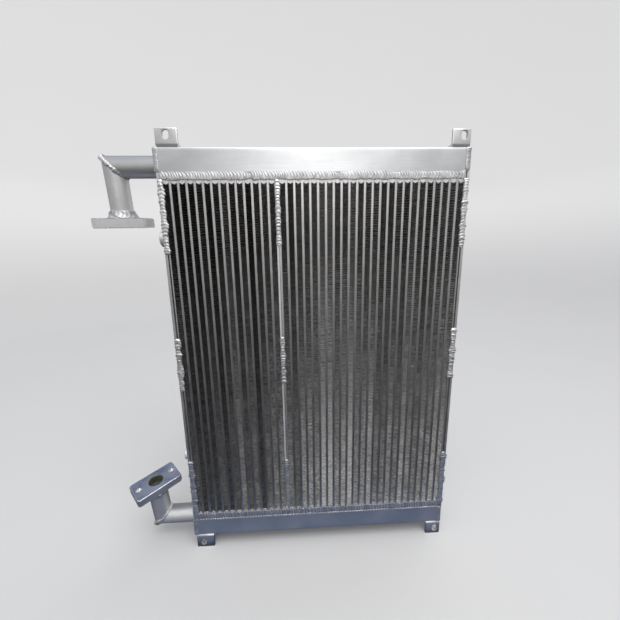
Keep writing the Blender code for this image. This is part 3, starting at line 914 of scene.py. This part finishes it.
def tank(end, height, seed):
    """A bent channel, open towards the core, with rounded long edges and slightly uneven faces."""
    node = f"tank_{end}"
    base, out = ENDS[end]
    wall, bend, steps = 4.0, 2.2, 110
    rim = height - 0.3
    # half the outer section, as (y, height above the base)
    outer = [(0.0, 0.0)]
    outer += [(y, 0.0) for y in np.linspace(5, HALF_D - bend, 8)]
    outer += [
        (HALF_D - bend + bend * math.sin(turn), bend * (1 - math.cos(turn)))
        for turn in np.linspace(0, math.pi / 2, 7)[1:]
    ]
    outer += [(HALF_D, h) for h in np.linspace(bend, rim, 9)[1:]]
    outer = np.array(outer)
    inner = np.stack([np.minimum(outer[:, 0], HALF_D - wall), np.maximum(outer[:, 1], wall)], 1)
    outer, inner = (np.vstack([part[::-1] * (-1, 1), part[1:]]) for part in (outer, inner))
    size = len(outer)
    y, h = outer.T
    on_side = np.abs(y) >= HALF_D - 1e-6
    free = np.where(
        on_side,
        np.clip((rim - h) / 12, 0, 1) * np.clip((h - bend) / 6, 0, 1),
        np.clip((HALF_D - np.abs(y)) / 10, 0, 1),
    )
    lo, hi = span(node)
    xs = np.linspace(lo[0], hi[0], steps + 1)[:, None]
    edge = np.minimum(1.0, np.minimum(xs - xs[0], xs[-1] - xs) / 12.0)
    bow = waves2(xs, y + h * 1.3, seed, base=0.03) * 0.22 * edge
    bow = np.minimum(bow, 0.0) * free
    verts = np.zeros((steps + 1, 2 * size, 3))
    verts[..., 0] = xs
    verts[:, :size, 1] = y + np.where(on_side, np.sign(y), 0.0) * bow
    verts[:, :size, 2] = base - out * (h + np.where(h <= 1e-6, -1.0, 0.0) * bow)
    verts[:, size:, 1] = inner[::-1, 0]
    verts[:, size:, 2] = base - out * inner[::-1, 1]
    full = 2 * size
    faces = ring_faces(steps + 1, full)
    for i in (0, steps):
        for j in range(size - 1):
            ring = (j, j + 1, full - 2 - j, full - 1 - j)
            faces.append([i * full + corner for corner in ring])
    put(f"tank_channel_{end}", verts.reshape(-1, 3), faces, [TANK], "tanks", 30, node)


tank("bottom", height=37.0 - Z_BASE, seed=31)
tank("top", height=Z_TOP - 696.4, seed=47)


def cap(corner, hole_z=None):
    """A rounded plate closing a tank's end, bored for a port where hole_z is given."""
    name, node = f"end_plate_{corner}", f"end_cap_{corner}"
    lo, hi = span(node)
    bm = bmesh.new()
    size = Matrix.Diagonal((*((hi - lo) * MM), 1.0))
    bmesh.ops.create_cube(bm, size=1.0, matrix=Matrix.Translation(placed((lo + hi) / 2)) @ size)
    bmesh.ops.bevel(bm, geom=list(bm.edges), offset=0.9 * MM, segments=3, affect="EDGES")
    mesh = bpy.data.meshes.new(name)
    bm.to_mesh(mesh)
    bm.free()
    mesh.materials.append(TANK)
    if hole_z is not None:
        plate = link_object(name + "_raw", mesh)
        profile = [(0, 0), (TUBE_IN, 0), (TUBE_IN, 16), (0, 16)]
        drill = lathe((lo[0] - 5, 0, hole_z), (1, 0, 0), profile, segs=48)
        mesh = carve(plate, [loose(name + "_cut", *drill)])
    finish_piece(name, mesh, 30, node)


cap("top_left", UPPER_PORT_Z)
cap("top_right")
cap("bottom_left", LOWER_PORT_Z)
cap("bottom_right")

# ------------------------------------------------------------------ mounting tabs

TAB_T = 5.0
SLOT_W, SLOT_HALF = 10.5, 2.0  # width, and half the distance between the round ends' centres
# centre of each tab's slot (x, z)
SLOTS = {
    "top_left": (-235.6, 751.5),
    "top_right": (241.8, 751.5),
    "bottom_left": (-241.0, -14.0),
    "bottom_right": (244.8, -14.2),
}


def slot_cutter(name, slot_x, slot_z):
    """A round-ended slot that flares at both faces of the plate."""
    outline = []
    for centre, start in ((SLOT_HALF, 0.0), (-SLOT_HALF, math.pi)):
        for k in range(17):
            turn = start + math.pi * k / 16
            x, z = SLOT_W / 2 * math.cos(turn), centre + SLOT_W / 2 * math.sin(turn)
            outline.append((x, z))
    outline = np.array(outline)
    flared = outline * (1 + 0.9 / np.abs(outline).max(0))
    sections = ((flared, -0.4), (outline, 0.45), (outline, TAB_T - 0.45), (flared, TAB_T + 0.4))
    rings = [[(slot_x + x, y - HALF_D, slot_z + z) for x, z in ring] for ring, y in sections]
    return loose(name, *loft(rings))


def tab(corner):
    """An angle bracket on the tank's outer face, its slotted leaf standing at the front."""
    name, node = f"mount_tab_{corner}", f"tab_{corner}"
    lo, hi = span(node)
    base, out = ENDS[corner.split("_")[0]]
    reach = hi[2] - base if out > 0 else base - lo[2]
    gap = 0.3

    def bend(inset, radius):
        """The section's bend, as (y, height above the tank)."""
        return [
            (-HALF_D + inset + radius * (1 - math.cos(turn)), gap + inset + radius * (1 - math.sin(turn)))
            for turn in np.linspace(0, math.pi / 2, 10)
        ]

    outer = [(-HALF_D, reach), *bend(0.0, 5.5), (hi[1], gap)]
    inner = [(-HALF_D + TAB_T, reach), *bend(TAB_T, 1.0), (hi[1], gap + TAB_T)]
    rings = [[(x, y, base + out * h) for y, h in outer + inner[::-1]] for x in (lo[0], hi[0])]
    obj = loose(name + "_raw", *loft(rings), [TAB if out > 0 else TAB_LOW, EDGE])
    cutter = slot_cutter(name + "_slot", *SLOTS[corner])
    bevel = obj.modifiers.new("edges", "BEVEL")
    bevel.width, bevel.segments, bevel.material = 0.7 * MM, 2, 1
    bevel.limit_method, bevel.angle_limit = "ANGLE", math.radians(50)
    finish_piece(name, carve(obj, [cutter]), 30, node)


for corner in SLOTS:
    tab(corner)

# ------------------------------------------------------------------ ports

INWARD = np.array([1.0, 0.0, 0.0])  # from the mitre towards the tank
FLANGE_L, FLANGE_W, FLANGE_T = 85.0, 50.5, 16.5
BOLT_X = 32.0
MITRE_GAP = 0.05
# (radius, distance back from the flange) round the weld collar's section
COLLAR = np.array([
    (17.2, 12.2), (18.3, 12.5), (19.3, 11.6), (20.0, 9.6), (20.7, 7.4), (21.6, 5.2),
    (22.7, 3.2), (23.9, 1.6), (24.9, 0.3), (24.6, -0.4), (17.2, -0.4),
])


class Port:
    """A stub from the tank, mitred into a leg that leans in Y and ends in a flange.

    reach is the leg's length, tilt and spin are degrees, up is the leg's direction in Z.
    """

    def __init__(self, key, x, z, reach, tilt, spin, up):
        self.key = key
        tilt, self.spin = math.radians(tilt), math.radians(spin)
        self.lean = np.array([0.0, -math.sin(tilt), math.cos(tilt)])
        self.along = self.lean * up
        self.corner = np.array([x, 0.0, z])
        self.reach = reach
        self.mitre = unit(INWARD - self.along)

    def tubes(self, leg_node, stub_metal, stub_phase, leg_phase):
        key, corner, along, mitre = self.key, self.corner, self.along, self.mitre
        cap_face = ((-CAP_OUT - 0.02, 0, 0), INWARD)
        shape = tube(corner, INWARD, (corner + mitre * MITRE_GAP, mitre), cap_face, stub_phase)
        put(f"{key}_stub_tube", *shape, [stub_metal], "tubes", 40, f"{key}_port_stub")
        flange_face = (corner + along * (self.reach - 0.02), along)
        shape = tube(corner, along, (corner - mitre * MITRE_GAP, mitre), flange_face, leg_phase)
        put(f"{key}_elbow_leg", *shape, [UPRIGHT_TUBE], "tubes", 40, leg_node)

    def flange_blank(self, centre, long_side, side_metal):
        """The flange's block with rounded corners and bright edges."""
        axes = (long_side, np.cross(self.lean, long_side), self.lean)
        turn = Matrix([Vector(axis) for axis in axes]).transposed().to_4x4()
        bm = bmesh.new()
        bmesh.ops.create_cube(bm, size=1.0)

        def ends(edge):
            return [vert.co.z for vert in edge.verts]

        def flat(edge):
            z0, z1 = ends(edge)
            return min(abs(z0), abs(z1)) > FLANGE_T / 2 * MM - 1e-6 and z0 * z1 > 0

        corners = [edge for edge in bm.edges if abs(ends(edge)[0] - ends(edge)[1]) > 0.5]
        size = (FLANGE_L * MM, FLANGE_W * MM, FLANGE_T * MM)
        bmesh.ops.scale(bm, verts=bm.verts, vec=size)
        bmesh.ops.bevel(bm, geom=corners, offset=2.6 * MM, segments=3, affect="EDGES")
        rims = [edge for edge in bm.edges if flat(edge)]
        rounded = bmesh.ops.bevel(bm, geom=rims, offset=1.0 * MM, segments=2, affect="EDGES")
        for face in rounded["faces"]:
            face.material_index = 1
        for face in bm.faces:
            if face.material_index == 0 and abs(face.normal.z) < 0.5:
                face.material_index = 3
        place = Matrix.Translation(Vector(placed(centre))) @ turn
        bmesh.ops.transform(bm, verts=bm.verts, matrix=place)
        name = f"{self.key}_flange_raw"
        mesh = bpy.data.meshes.new(name)
        bm.to_mesh(mesh)
        bm.free()
        for mat in (MILLED, EDGE, BORE, side_metal):
            mesh.materials.append(mat)
        return link_object(name, mesh)

    def flange(self, side_metal):
        """The block with its bore and two threaded bolt holes."""
        key, lean, half = self.key, self.lean, FLANGE_T / 2
        across = np.cross(lean, INWARD)
        long_side = INWARD * math.cos(self.spin) + across * math.sin(self.spin)
        centre = self.corner + self.along * (self.reach + half)
        blank = self.flange_blank(centre, long_side, side_metal)
        bore = [
            (0, -half - 3), (14.6, -half - 3), (14.6, -half - 0.4), (13.0, -half + 1.2),
            (13.0, half - 1.2), (14.6, half + 0.4), (14.6, half + 3), (0, half + 3),
        ]
        cutters = [loose(f"{key}_bore", *lathe(centre, lean, bore, segs=72), [BORE])]
        thread = [(0, -half - 3), (6.0, -half - 3), (6.0, -half - 0.3)]
        z = -half + 0.9
        while z < half - 1.3:
            thread += [(5.0, z), (5.45, z + 0.6)]
            z += 1.25
        thread += [(5.0, half - 0.9), (6.0, half + 0.3), (6.0, half + 3), (0, half + 3)]
        for sign in (-1, 1):
            drill = lathe(centre + long_side * sign * BOLT_X, lean, thread, segs=40)
            cutters.append(loose(f"{key}_bolt_{sign}", *drill, [EDGE]))
        mesh = carve(blank, cutters)
        finish_piece(f"{key}_flange_block", mesh, 30, f"{key}_port_flange")

    def collar(self, seed):
        """The conical rippled weld between the leg and the flange."""
        segs, ripples = 132, 19
        amp = np.random.default_rng(seed).uniform(0.5, 1.6, ripples)
        j = np.arange(len(COLLAR))
        part = np.arange(segs)[:, None] / segs
        turn = 2 * math.pi * part
        outside = np.where((j >= 1) & (j <= 8), 1.0, 0.0)
        phase = (part * ripples + 0.9 * np.sin(j / 8 * math.pi)) % ripples
        cell = phase.astype(int)
        wave = ripple_wave(phase - cell, rise=0.25, drop=0.5)
        strong = wave * amp[cell % ripples]
        lump = 0.5 * np.sin(3 * turn + seed) * np.sin(j * 0.9)
        lump = lump + 0.5 * np.sin(7 * turn + j) + 0.35 * np.sin(11 * turn + seed * j)
        radii = COLLAR[:, 0] + outside * (0.95 * strong + lump)
        swell = 0.5 * strong + 0.45 * np.sin(5 * turn + seed + j * 0.4)
        backs = COLLAR[:, 1] + outside * swell * np.where(j < 7, 1, 0.3)
        rings = (
            self.corner
            + self.along * (self.reach - backs[..., None])
            + spokes(self.along, segs)[:, None, :] * radii[..., None]
        )
        name = f"{self.key}_flange_weld"
        obj = put(name, *loft(rings, wrap=True), [WELD_PORT], "flanges", 60)
        # soot and painted shade in the collar's ripple grooves, through the hollow attribute
        hollow = (0.25 + 0.75 * (0.2 - wave)) * outside
        hollows(obj.data, np.clip(hollow.reshape(-1), 0, 1))

    def stub_weld(self, seed):
        centre = (-CAP_OUT - 1.2, 0, self.corner[2])
        ring_bead(
            f"{self.key}_stub_weld", centre, TUBE_R + 1.0, count=96,
            width=7.6, height=1.5, pitch=3.6, seed=seed, sink=1.6, ripple=0.3,
        )

    def mitre_weld(self, width, seed):
        out = spokes(INWARD, 120)
        start = TUBE_R * out
        slide = (-start @ self.mitre) / (INWARD @ self.mitre)
        hit = start + np.outer(slide, INWARD)
        from_leg = unit(hit - np.outer(hit @ self.along, self.along))
        bead(
            f"{self.key}_mitre_weld", self.corner + hit, unit(out + from_leg),
            width=width, height=1.8, pitch=5.2, seed=seed, closed=True, sink=1.8,
            ripple=0.8, ragged=0.26, rough=0.6, wander=2.2,
        )

    def build(self, leg_node, metals, phases, mitre_width, seed):
        """metals are the stub's and the flange side's; phases are the stub's and the leg's."""
        self.tubes(leg_node, metals[0], *phases)
        self.flange(metals[1])
        self.collar(seed)
        self.stub_weld(seed + 1)
        self.mitre_weld(mitre_width, seed + 2)


Port("upper", x=-339.9, z=UPPER_PORT_Z, reach=82.5, tilt=4.8, spin=7.2, up=-1).build(
    "upper_port_drop", metals=(STUB_HIGH, SAWN), phases=(3, 5), mitre_width=7.4, seed=71
)
Port("lower", x=-335.9, z=LOWER_PORT_Z, reach=78.9, tilt=8.0, spin=44.1, up=1).build(
    "lower_port_riser", metals=(STUB_LOW, SAWN_LOW), phases=(8, 2), mitre_width=8.0, seed=83
)

# ------------------------------------------------------------------ bosses on the left side plate


def boss(node, radius, seed):
    """A turned boss with a threaded blind hole, and the weld round its foot."""
    lo, hi = span(node)
    z = (lo[2] + hi[2]) / 2
    depth = hi[0] - lo[0]
    profile = [
        (0, 0), (radius - 0.6, 0), (radius, 0.6), (radius, depth - 1.1),
        (radius - 1.1, depth), (6.0, depth), (5.0, depth - 1.0),
    ]
    thread = depth - 1.6
    while thread > 4.5:
        profile += [(5.4, thread), (5.0, thread - 0.65)]
        thread -= 1.3
    profile += [(5.0, 3.6), (0, 1.4)]
    shape = lathe((hi[0], 0, z), (-1, 0, 0), profile, segs=64)
    put(node + "_turned", *shape, [SAWN], "flanges", 30, node)
    ring_bead(
        node + "_weld", (hi[0] - 0.9, 0, z), radius + 0.8, count=72,
        width=6.0, height=1.4, pitch=3.4, seed=seed, sink=1.4, slot="flanges",
    )


boss("boss_upper", radius=14.0, seed=154)
boss("boss_lower", radius=10.5, seed=150)

# ------------------------------------------------------------------ seams and stitches

SEAM_X = (-251.5, 249.5)
# (place along the seam, half width, gain)
TOP_LUMPS = (
    (5, 4, 0.3), (150, 3.5, 0.5), (292, 3, 0.4), (330, 4, 0.35), (500, 4, 0.25),
    (143.5, 2.6, -0.6), (287, 2.2, -0.5),
)
BOTTOM_LUMPS = ((6, 4, 0.2), (196, 4, 0.25), (398, 4, 0.2), (190, 2.5, -0.3), (392, 2.0, -0.3))
# side, x, first seed, (top, foot) of each stitch
SIDE_STITCHES = (
    ("left", -250.9, 350, ((686, 567), (421, 320), (173, 46))),
    ("right", 250.9, 300, ((686, 571), (427, 328), (169, 46))),
)
CENTRE_STITCHES = ((686, 579), (419, 328), (168, 61))


def random_lumps(seed, length):
    """Uneven swellings along a hand-laid stitch: (place, half width, gain)."""
    rng = np.random.default_rng(seed)
    place, lumps = rng.uniform(4, 10), []
    while place < length:
        lumps.append((place, rng.uniform(2.2, 4.6), rng.uniform(-0.28, 0.42)))
        place += rng.uniform(8, 16)
    return lumps


def face_welds(rear, label):
    """All straight welds on the front face (rear 0) or the rear face (rear 1)."""
    side = 1 if rear else -1
    y = side * HALF_D
    normal = (0, side, 0)

    def by_slope(upper, lower):
        """Upper slope first at the front, last at the rear, as the bead's own sides fall."""
        return (lower, upper) if rear else (upper, lower)

    def seam(name, z, **shape):
        path = [(x, y, z) for x in SEAM_X]
        bead(f"seam_{name}_{label}", path, normal, sink=0.8, **shape)

    seam(
        "top", 690.7, width=12.4, height=0.75, pitch=4.7, seed=201 + rear, lumps=TOP_LUMPS,
        columns=11, curve=-0.7 * side, ripple=0.8, shades=1.05, ragged=0.12,
        slopes=(0.5, 0.5), toes=by_slope(1.1, 0.15),
    )
    seam(
        "bottom", 46.6, width=13.4, height=0.85, pitch=5.3, seed=203 + rear, lumps=BOTTOM_LUMPS,
        columns=11, curve=-0.35 * side, ripple=1.3, shades=1.9, mat=WELD_LOW, ragged=0.14,
        slopes=by_slope(0.5, 1.0), toes=by_slope(1.2, 0.2),
    )
    seam(
        "bottom_toe", 38.9, width=4.6, height=0.85, pitch=5.3, seed=207 + rear,
        columns=7, curve=-0.2, ripple=0.22, slopes=(0.8, 0.8),
    )
    for side_name, x, first_seed, runs in SIDE_STITCHES:
        for i, (top, foot) in enumerate(runs):
            seed = first_seed + i * 7
            bead(
                f"stitch_{side_name}_{i + 1}_{label}", [(x, y, foot), (x, y, top)], normal,
                width=9.8, height=1.8, pitch=5.4, seed=seed + 3 * rear, ends=5.0, ragged=0.3,
                ripple=0.45, rough=0.6, shades=0.6, mat=WELD_FOOT if i == 2 else WELD_PALE,
                wander=2.6, slot="plates", lumps=random_lumps(seed, top - foot),
            )
    for i, (top, foot) in enumerate(CENTRE_STITCHES):
        bead(
            f"stitch_centre_{i + 1}_{label}", [(CENTRE_X, y, foot), (CENTRE_X, y, top)], normal,
            width=8.6, height=1.6, pitch=5.4, seed=400 + i * 5 + 2 * rear, ends=5.0,
            ragged=0.24, ripple=0.85, rough=0.35, shades=1.7, wander=1.8, sink=1.0,
            mat=WELD_FOOT if i == 2 else WELD, slot="core",
        )


face_welds(0, "front")
face_welds(1, "rear")


def end_section(radius=1.6):
    """A tank end's three sides, front to rear: (y, height above the base, normal's y and height)."""
    turns = [(math.sin(turn), math.cos(turn)) for turn in np.linspace(0, math.pi / 2, 6)[1:-1]]
    flat = HALF_D - radius
    rows = [(-HALF_D, h, -1, 0) for h in np.linspace(36.0, radius, 12)]
    rows += [(-flat - radius * cos, radius - radius * sin, -cos, -sin) for sin, cos in turns]
    rows += [(y, 0, 0, -1) for y in np.linspace(-flat, flat, 20)]
    rows += [(flat + radius * sin, radius - radius * cos, sin, -cos) for sin, cos in turns]
    return rows + [(HALF_D, h, 1, 0) for h in np.linspace(radius, 33.0, 12)]


def end_seam(end, side):
    """The end plate's weld round the tank's end, plainer on the left."""
    base, out = ENDS[end]
    lo, hi = span(f"end_cap_{end}_{side}")
    rows = end_section()
    seed = 500 + (end == "top") * 11
    if side == "right":
        x = lo[0] - 0.2
        shape = dict(width=8.6, height=0.9, ripple=0.3, shades=1.0, seed=seed + 23)
    else:
        x = hi[0] + 0.2
        shape = dict(width=7.8, height=0.6, ripple=0.07, shades=0.1, seed=seed)
    path = [(x, y, base - out * h) for y, h, _, _ in rows]
    normals = [(0, ny, -out * nh) for _, _, ny, nh in rows]
    bead(
        f"end_seam_{end}_{side}", path, normals, pitch=3.6, sink=1.6, ends=9.0,
        ragged=0.1, rough=0.16, toes=(0.2, 0.2), mat=WELD_DULL, **shape,
    )


def tab_welds(end, side):
    """Fillets along a tab's inner side and its rear edge."""
    base, out = ENDS[end]
    lo, hi = span(f"tab_{end}_{side}")
    inward = 1.0 if side == "left" else -1.0
    x = (hi[0] if side == "left" else lo[0]) + inward * 0.4
    y, z = hi[1] + 0.4, base + out * 0.8
    seed = (end == "top") * 3 + (side == "left") * 17
    for label, path, normal, first_seed in (
        ("side", [(x, -33.5, z), (x, hi[1], z)], (inward, 0, out), 600),
        ("rear", [(lo[0] + 2, y, z), (hi[0] - 1, y, z)], (0, 1, out), 640),
    ):
        bead(
            f"tab_weld_{end}_{side}_{label}", path, unit(normal), slot="plates",
            width=6.4, height=1.3, pitch=3.8, seed=first_seed + seed, sink=1.6,
        )


for weld in (end_seam, tab_welds):
    for end in ENDS:
        for side in ("left", "right"):
            weld(end, side)


def spatter():
    """Droplets beside the centre joint."""
    drops = Soup()
    rng = np.random.default_rng(77)
    heights = (500, 640, 590, 400, 330, 150, 120, 95, 80, 140, 110, 70)
    spots = [(CENTRE_X + rng.normal(0, 5), -HALF_D, z + rng.normal(0, 12)) for z in heights]
    for spot in spots:
        radius = rng.uniform(0.5, 1.0)
        dome = [
            (radius * math.cos(turn), 0.62 * radius * math.sin(turn))
            for turn in np.linspace(-0.4, 1.35, 6)
        ]
        profile = [(0, -0.4), *dome, (0, 0.62 * radius)]
        drops.add(*lathe(spot, (0, -1, 0), profile, segs=12, near=(1, 0, 0)))
    drops.put("weld_spatter", [WELD], "core", 60)


spatter()

# ------------------------------------------------------------------ floor and backdrop, in metres

FLOOR_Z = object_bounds()[0].z
# (radius, height) up the backdrop: flat floor, a curved foot, then a dome
BACKDROP = [
    (0.001, 0.0), (1.2, 0.0), (2.4, 0.0),
    *(
        (2.4 + 1.4 * math.sin(turn), 1.4 - 1.4 * math.cos(turn))
        for turn in np.linspace(0, math.pi / 2, 12)[1:]
    ),
    (3.8, 4.2), (3.7, 5.6), (3.1, 6.6), (1.8, 7.2), (0.001, 7.4),
]


def floor_material():
    """Matt pale grey that glows more with height."""
    colour = (0.62, 0.62, 0.62)
    mat = Material("pale_floor")
    tone = mat.remap(mat.noise(3.0, detail=4.0, rough=0.6), over=(0.3, 0.7))
    rise = (FLOOR_Z + 0.05, FLOOR_Z + 1.3)
    glow = mat.remap(mat.split(mat.coord)["Z"], over=rise, to=(0.0, 0.42), smooth=True)
    return mat.surface({
        "Base Color": mat.mix(tone, shade(colour, 0.985), colour),
        "Roughness": 0.9,
        "Specular IOR Level": 0.1,
        "Emission Color": (1.0, 1.0, 1.0),
        "Emission Strength": glow,
    })


def studio_floor():
    segs = 96
    verts = []
    for radius, height in BACKDROP:
        for k in range(segs):
            turn = 2 * math.pi * k / segs
            x, y = ORIGIN[0] + radius * math.cos(turn), ORIGIN[1] + radius * math.sin(turn)
            verts.append((x, y, FLOOR_Z + height))
    mesh = bpy.data.meshes.new("studio_floor")
    mesh.from_pydata(verts, [], ring_faces(len(BACKDROP), segs))
    mesh.shade_smooth()
    mesh.materials.append(floor_material())
    floor = link_object("studio_floor", mesh)
    floor.visible_glossy = False
    floor.visible_diffuse = False
    floor.visible_shadow = False
    floor.visible_transmission = False


studio_floor()

# ------------------------------------------------------------------ camera

CAMERA_PLACE = (-38.162, -551.216, 570.635)
CAMERA_AXES = (  # its right, up and backward directions
    (0.998661, -0.049434, -0.015236),
    (0.024689, 0.196677, 0.980157),
    (-0.045456, -0.979221, 0.197634),
)


def camera():
    data = bpy.data.cameras.new("camera")
    obj = link_object("camera", data)
    pose = Matrix(CAMERA_AXES).transposed().to_4x4()
    pose.translation = Vector(CAMERA_PLACE) * MM + Vector(ORIGIN)
    obj.matrix_world = pose
    data.sensor_width = 36.0
    data.lens = 17.0599355
    data.clip_start, data.clip_end = 0.01, 50.0
    bpy.context.scene.camera = obj


camera()

# ------------------------------------------------------------------ studio surroundings

# a bright upper front, dim and slightly cool below: (sine of the elevation, colour)
SKY = (
    (-1.0, (0.030, 0.042, 0.085)),
    (-0.78, (0.026, 0.034, 0.065)),
    (-0.71, (0.014, 0.017, 0.030)),
    (-0.5, (0.028, 0.031, 0.043)),
    (-0.26, (0.10, 0.10, 0.11)),
    (-0.09, (0.24, 0.24, 0.24)),
    (0.08, (0.41, 0.41, 0.41)),
    (0.19, (0.44, 0.44, 0.44)),
    (0.29, (0.275, 0.275, 0.28)),
    (0.7, (0.75, 0.75, 0.76)),
    (1.0, (0.9, 0.9, 0.92)),
)
# soft patches: direction, width in degrees, gain (negative darkens), colour
GLOWS = (
    ((0.06, -0.95, 0.31), 8.2, 3.4, (1.0, 0.985, 0.95)),
    ((-0.75, 0.6, 0.2), 30.0, 0.5, (0.97, 0.985, 1.0)),
    ((0.8, 0.45, 0.35), 30.0, 0.6, (1.0, 0.99, 0.97)),
    ((0.0, -0.25, 0.97), 32.0, 1.2, (1.0, 1.0, 1.0)),
    ((-0.38, 0.507, 0.772), 26.0, -0.9, (1.0, 0.96, 0.86)),
)
DARKEST = (0.012, 0.015, 0.027)


def surroundings():
    world = bpy.data.worlds.new("studio")
    bpy.context.scene.world = world
    world.use_nodes = True
    sky = Graph(world.node_tree)
    sky.tree.nodes.clear()
    coord = sky.node("ShaderNodeTexCoord").outputs["Generated"]
    look = sky.vector("NORMALIZE", coord).outputs[0]
    height = sky.math("MULTIPLY_ADD", sky.split(look)["Z"], 0.5, 0.5)
    ramp = sky.node("ShaderNodeValToRGB", {0: height})
    stops = ramp.color_ramp.elements
    while len(stops) < len(SKY):
        stops.new(0.5)
    for stop, (z, colour) in zip(stops, SKY):
        stop.position = z * 0.5 + 0.5
        stop.color = (*colour, 1.0)
    total = ramp.outputs[0]
    for direction, width, gain, colour in GLOWS:
        facing = sky.dot(look, Vector(direction).normalized())
        spread = 1 - math.cos(math.radians(width))
        falloff = sky.math("DIVIDE", sky.math("SUBTRACT", facing, 1.0), spread)
        glow = sky.vector("SCALE", tuple(gain * channel for channel in colour))
        sky.fill(glow, {"Scale": sky.math("EXPONENT", falloff)})
        total = sky.vector("ADD", total, glow.outputs[0]).outputs[0]
    total = sky.vector("MAXIMUM", total, DARKEST).outputs[0]
    background = sky.node("ShaderNodeBackground", {"Color": total, "Strength": 1.0})
    sky.node("ShaderNodeOutputWorld", {"Surface": background.outputs[0]})


surroundings()

# ------------------------------------------------------------------ lights


def area_light(name, size, energy, offset, colour=(1.0, 1.0, 1.0)):
    """A rectangular light, its offset in metres from the layout's origin."""
    data = bpy.data.lights.new(name, "AREA")
    data.shape = "RECTANGLE"
    data.size, data.size_y = size
    data.energy = energy
    data.color = colour
    obj = link_object(name, data)
    obj.location = Vector(ORIGIN) + Vector(offset)
    return obj


soft_top = area_light("soft_top", size=(1.6, 1.2), energy=15.0, offset=(0.3, -0.9, 2.1))
soft_top.rotation_mode = "QUATERNION"
aim = Vector(ORIGIN) + Vector((0, 0, 0.35)) - soft_top.location
soft_top.rotation_quaternion = aim.to_track_quat("-Z", "Y")

cool_bounce = area_light(
    "cool_bounce", size=(0.9, 0.10), energy=0.045, offset=(-0.02, -0.10, -0.029),
    colour=(0.42, 0.58, 1.0),
)
cool_bounce.rotation_euler = (math.pi, 0.0, 0.0)  # shines upward

view = bpy.context.scene.view_settings
view.view_transform = "Standard"
view.look = "None"
view.exposure = 0.0

bpy.context.view_layer.update()
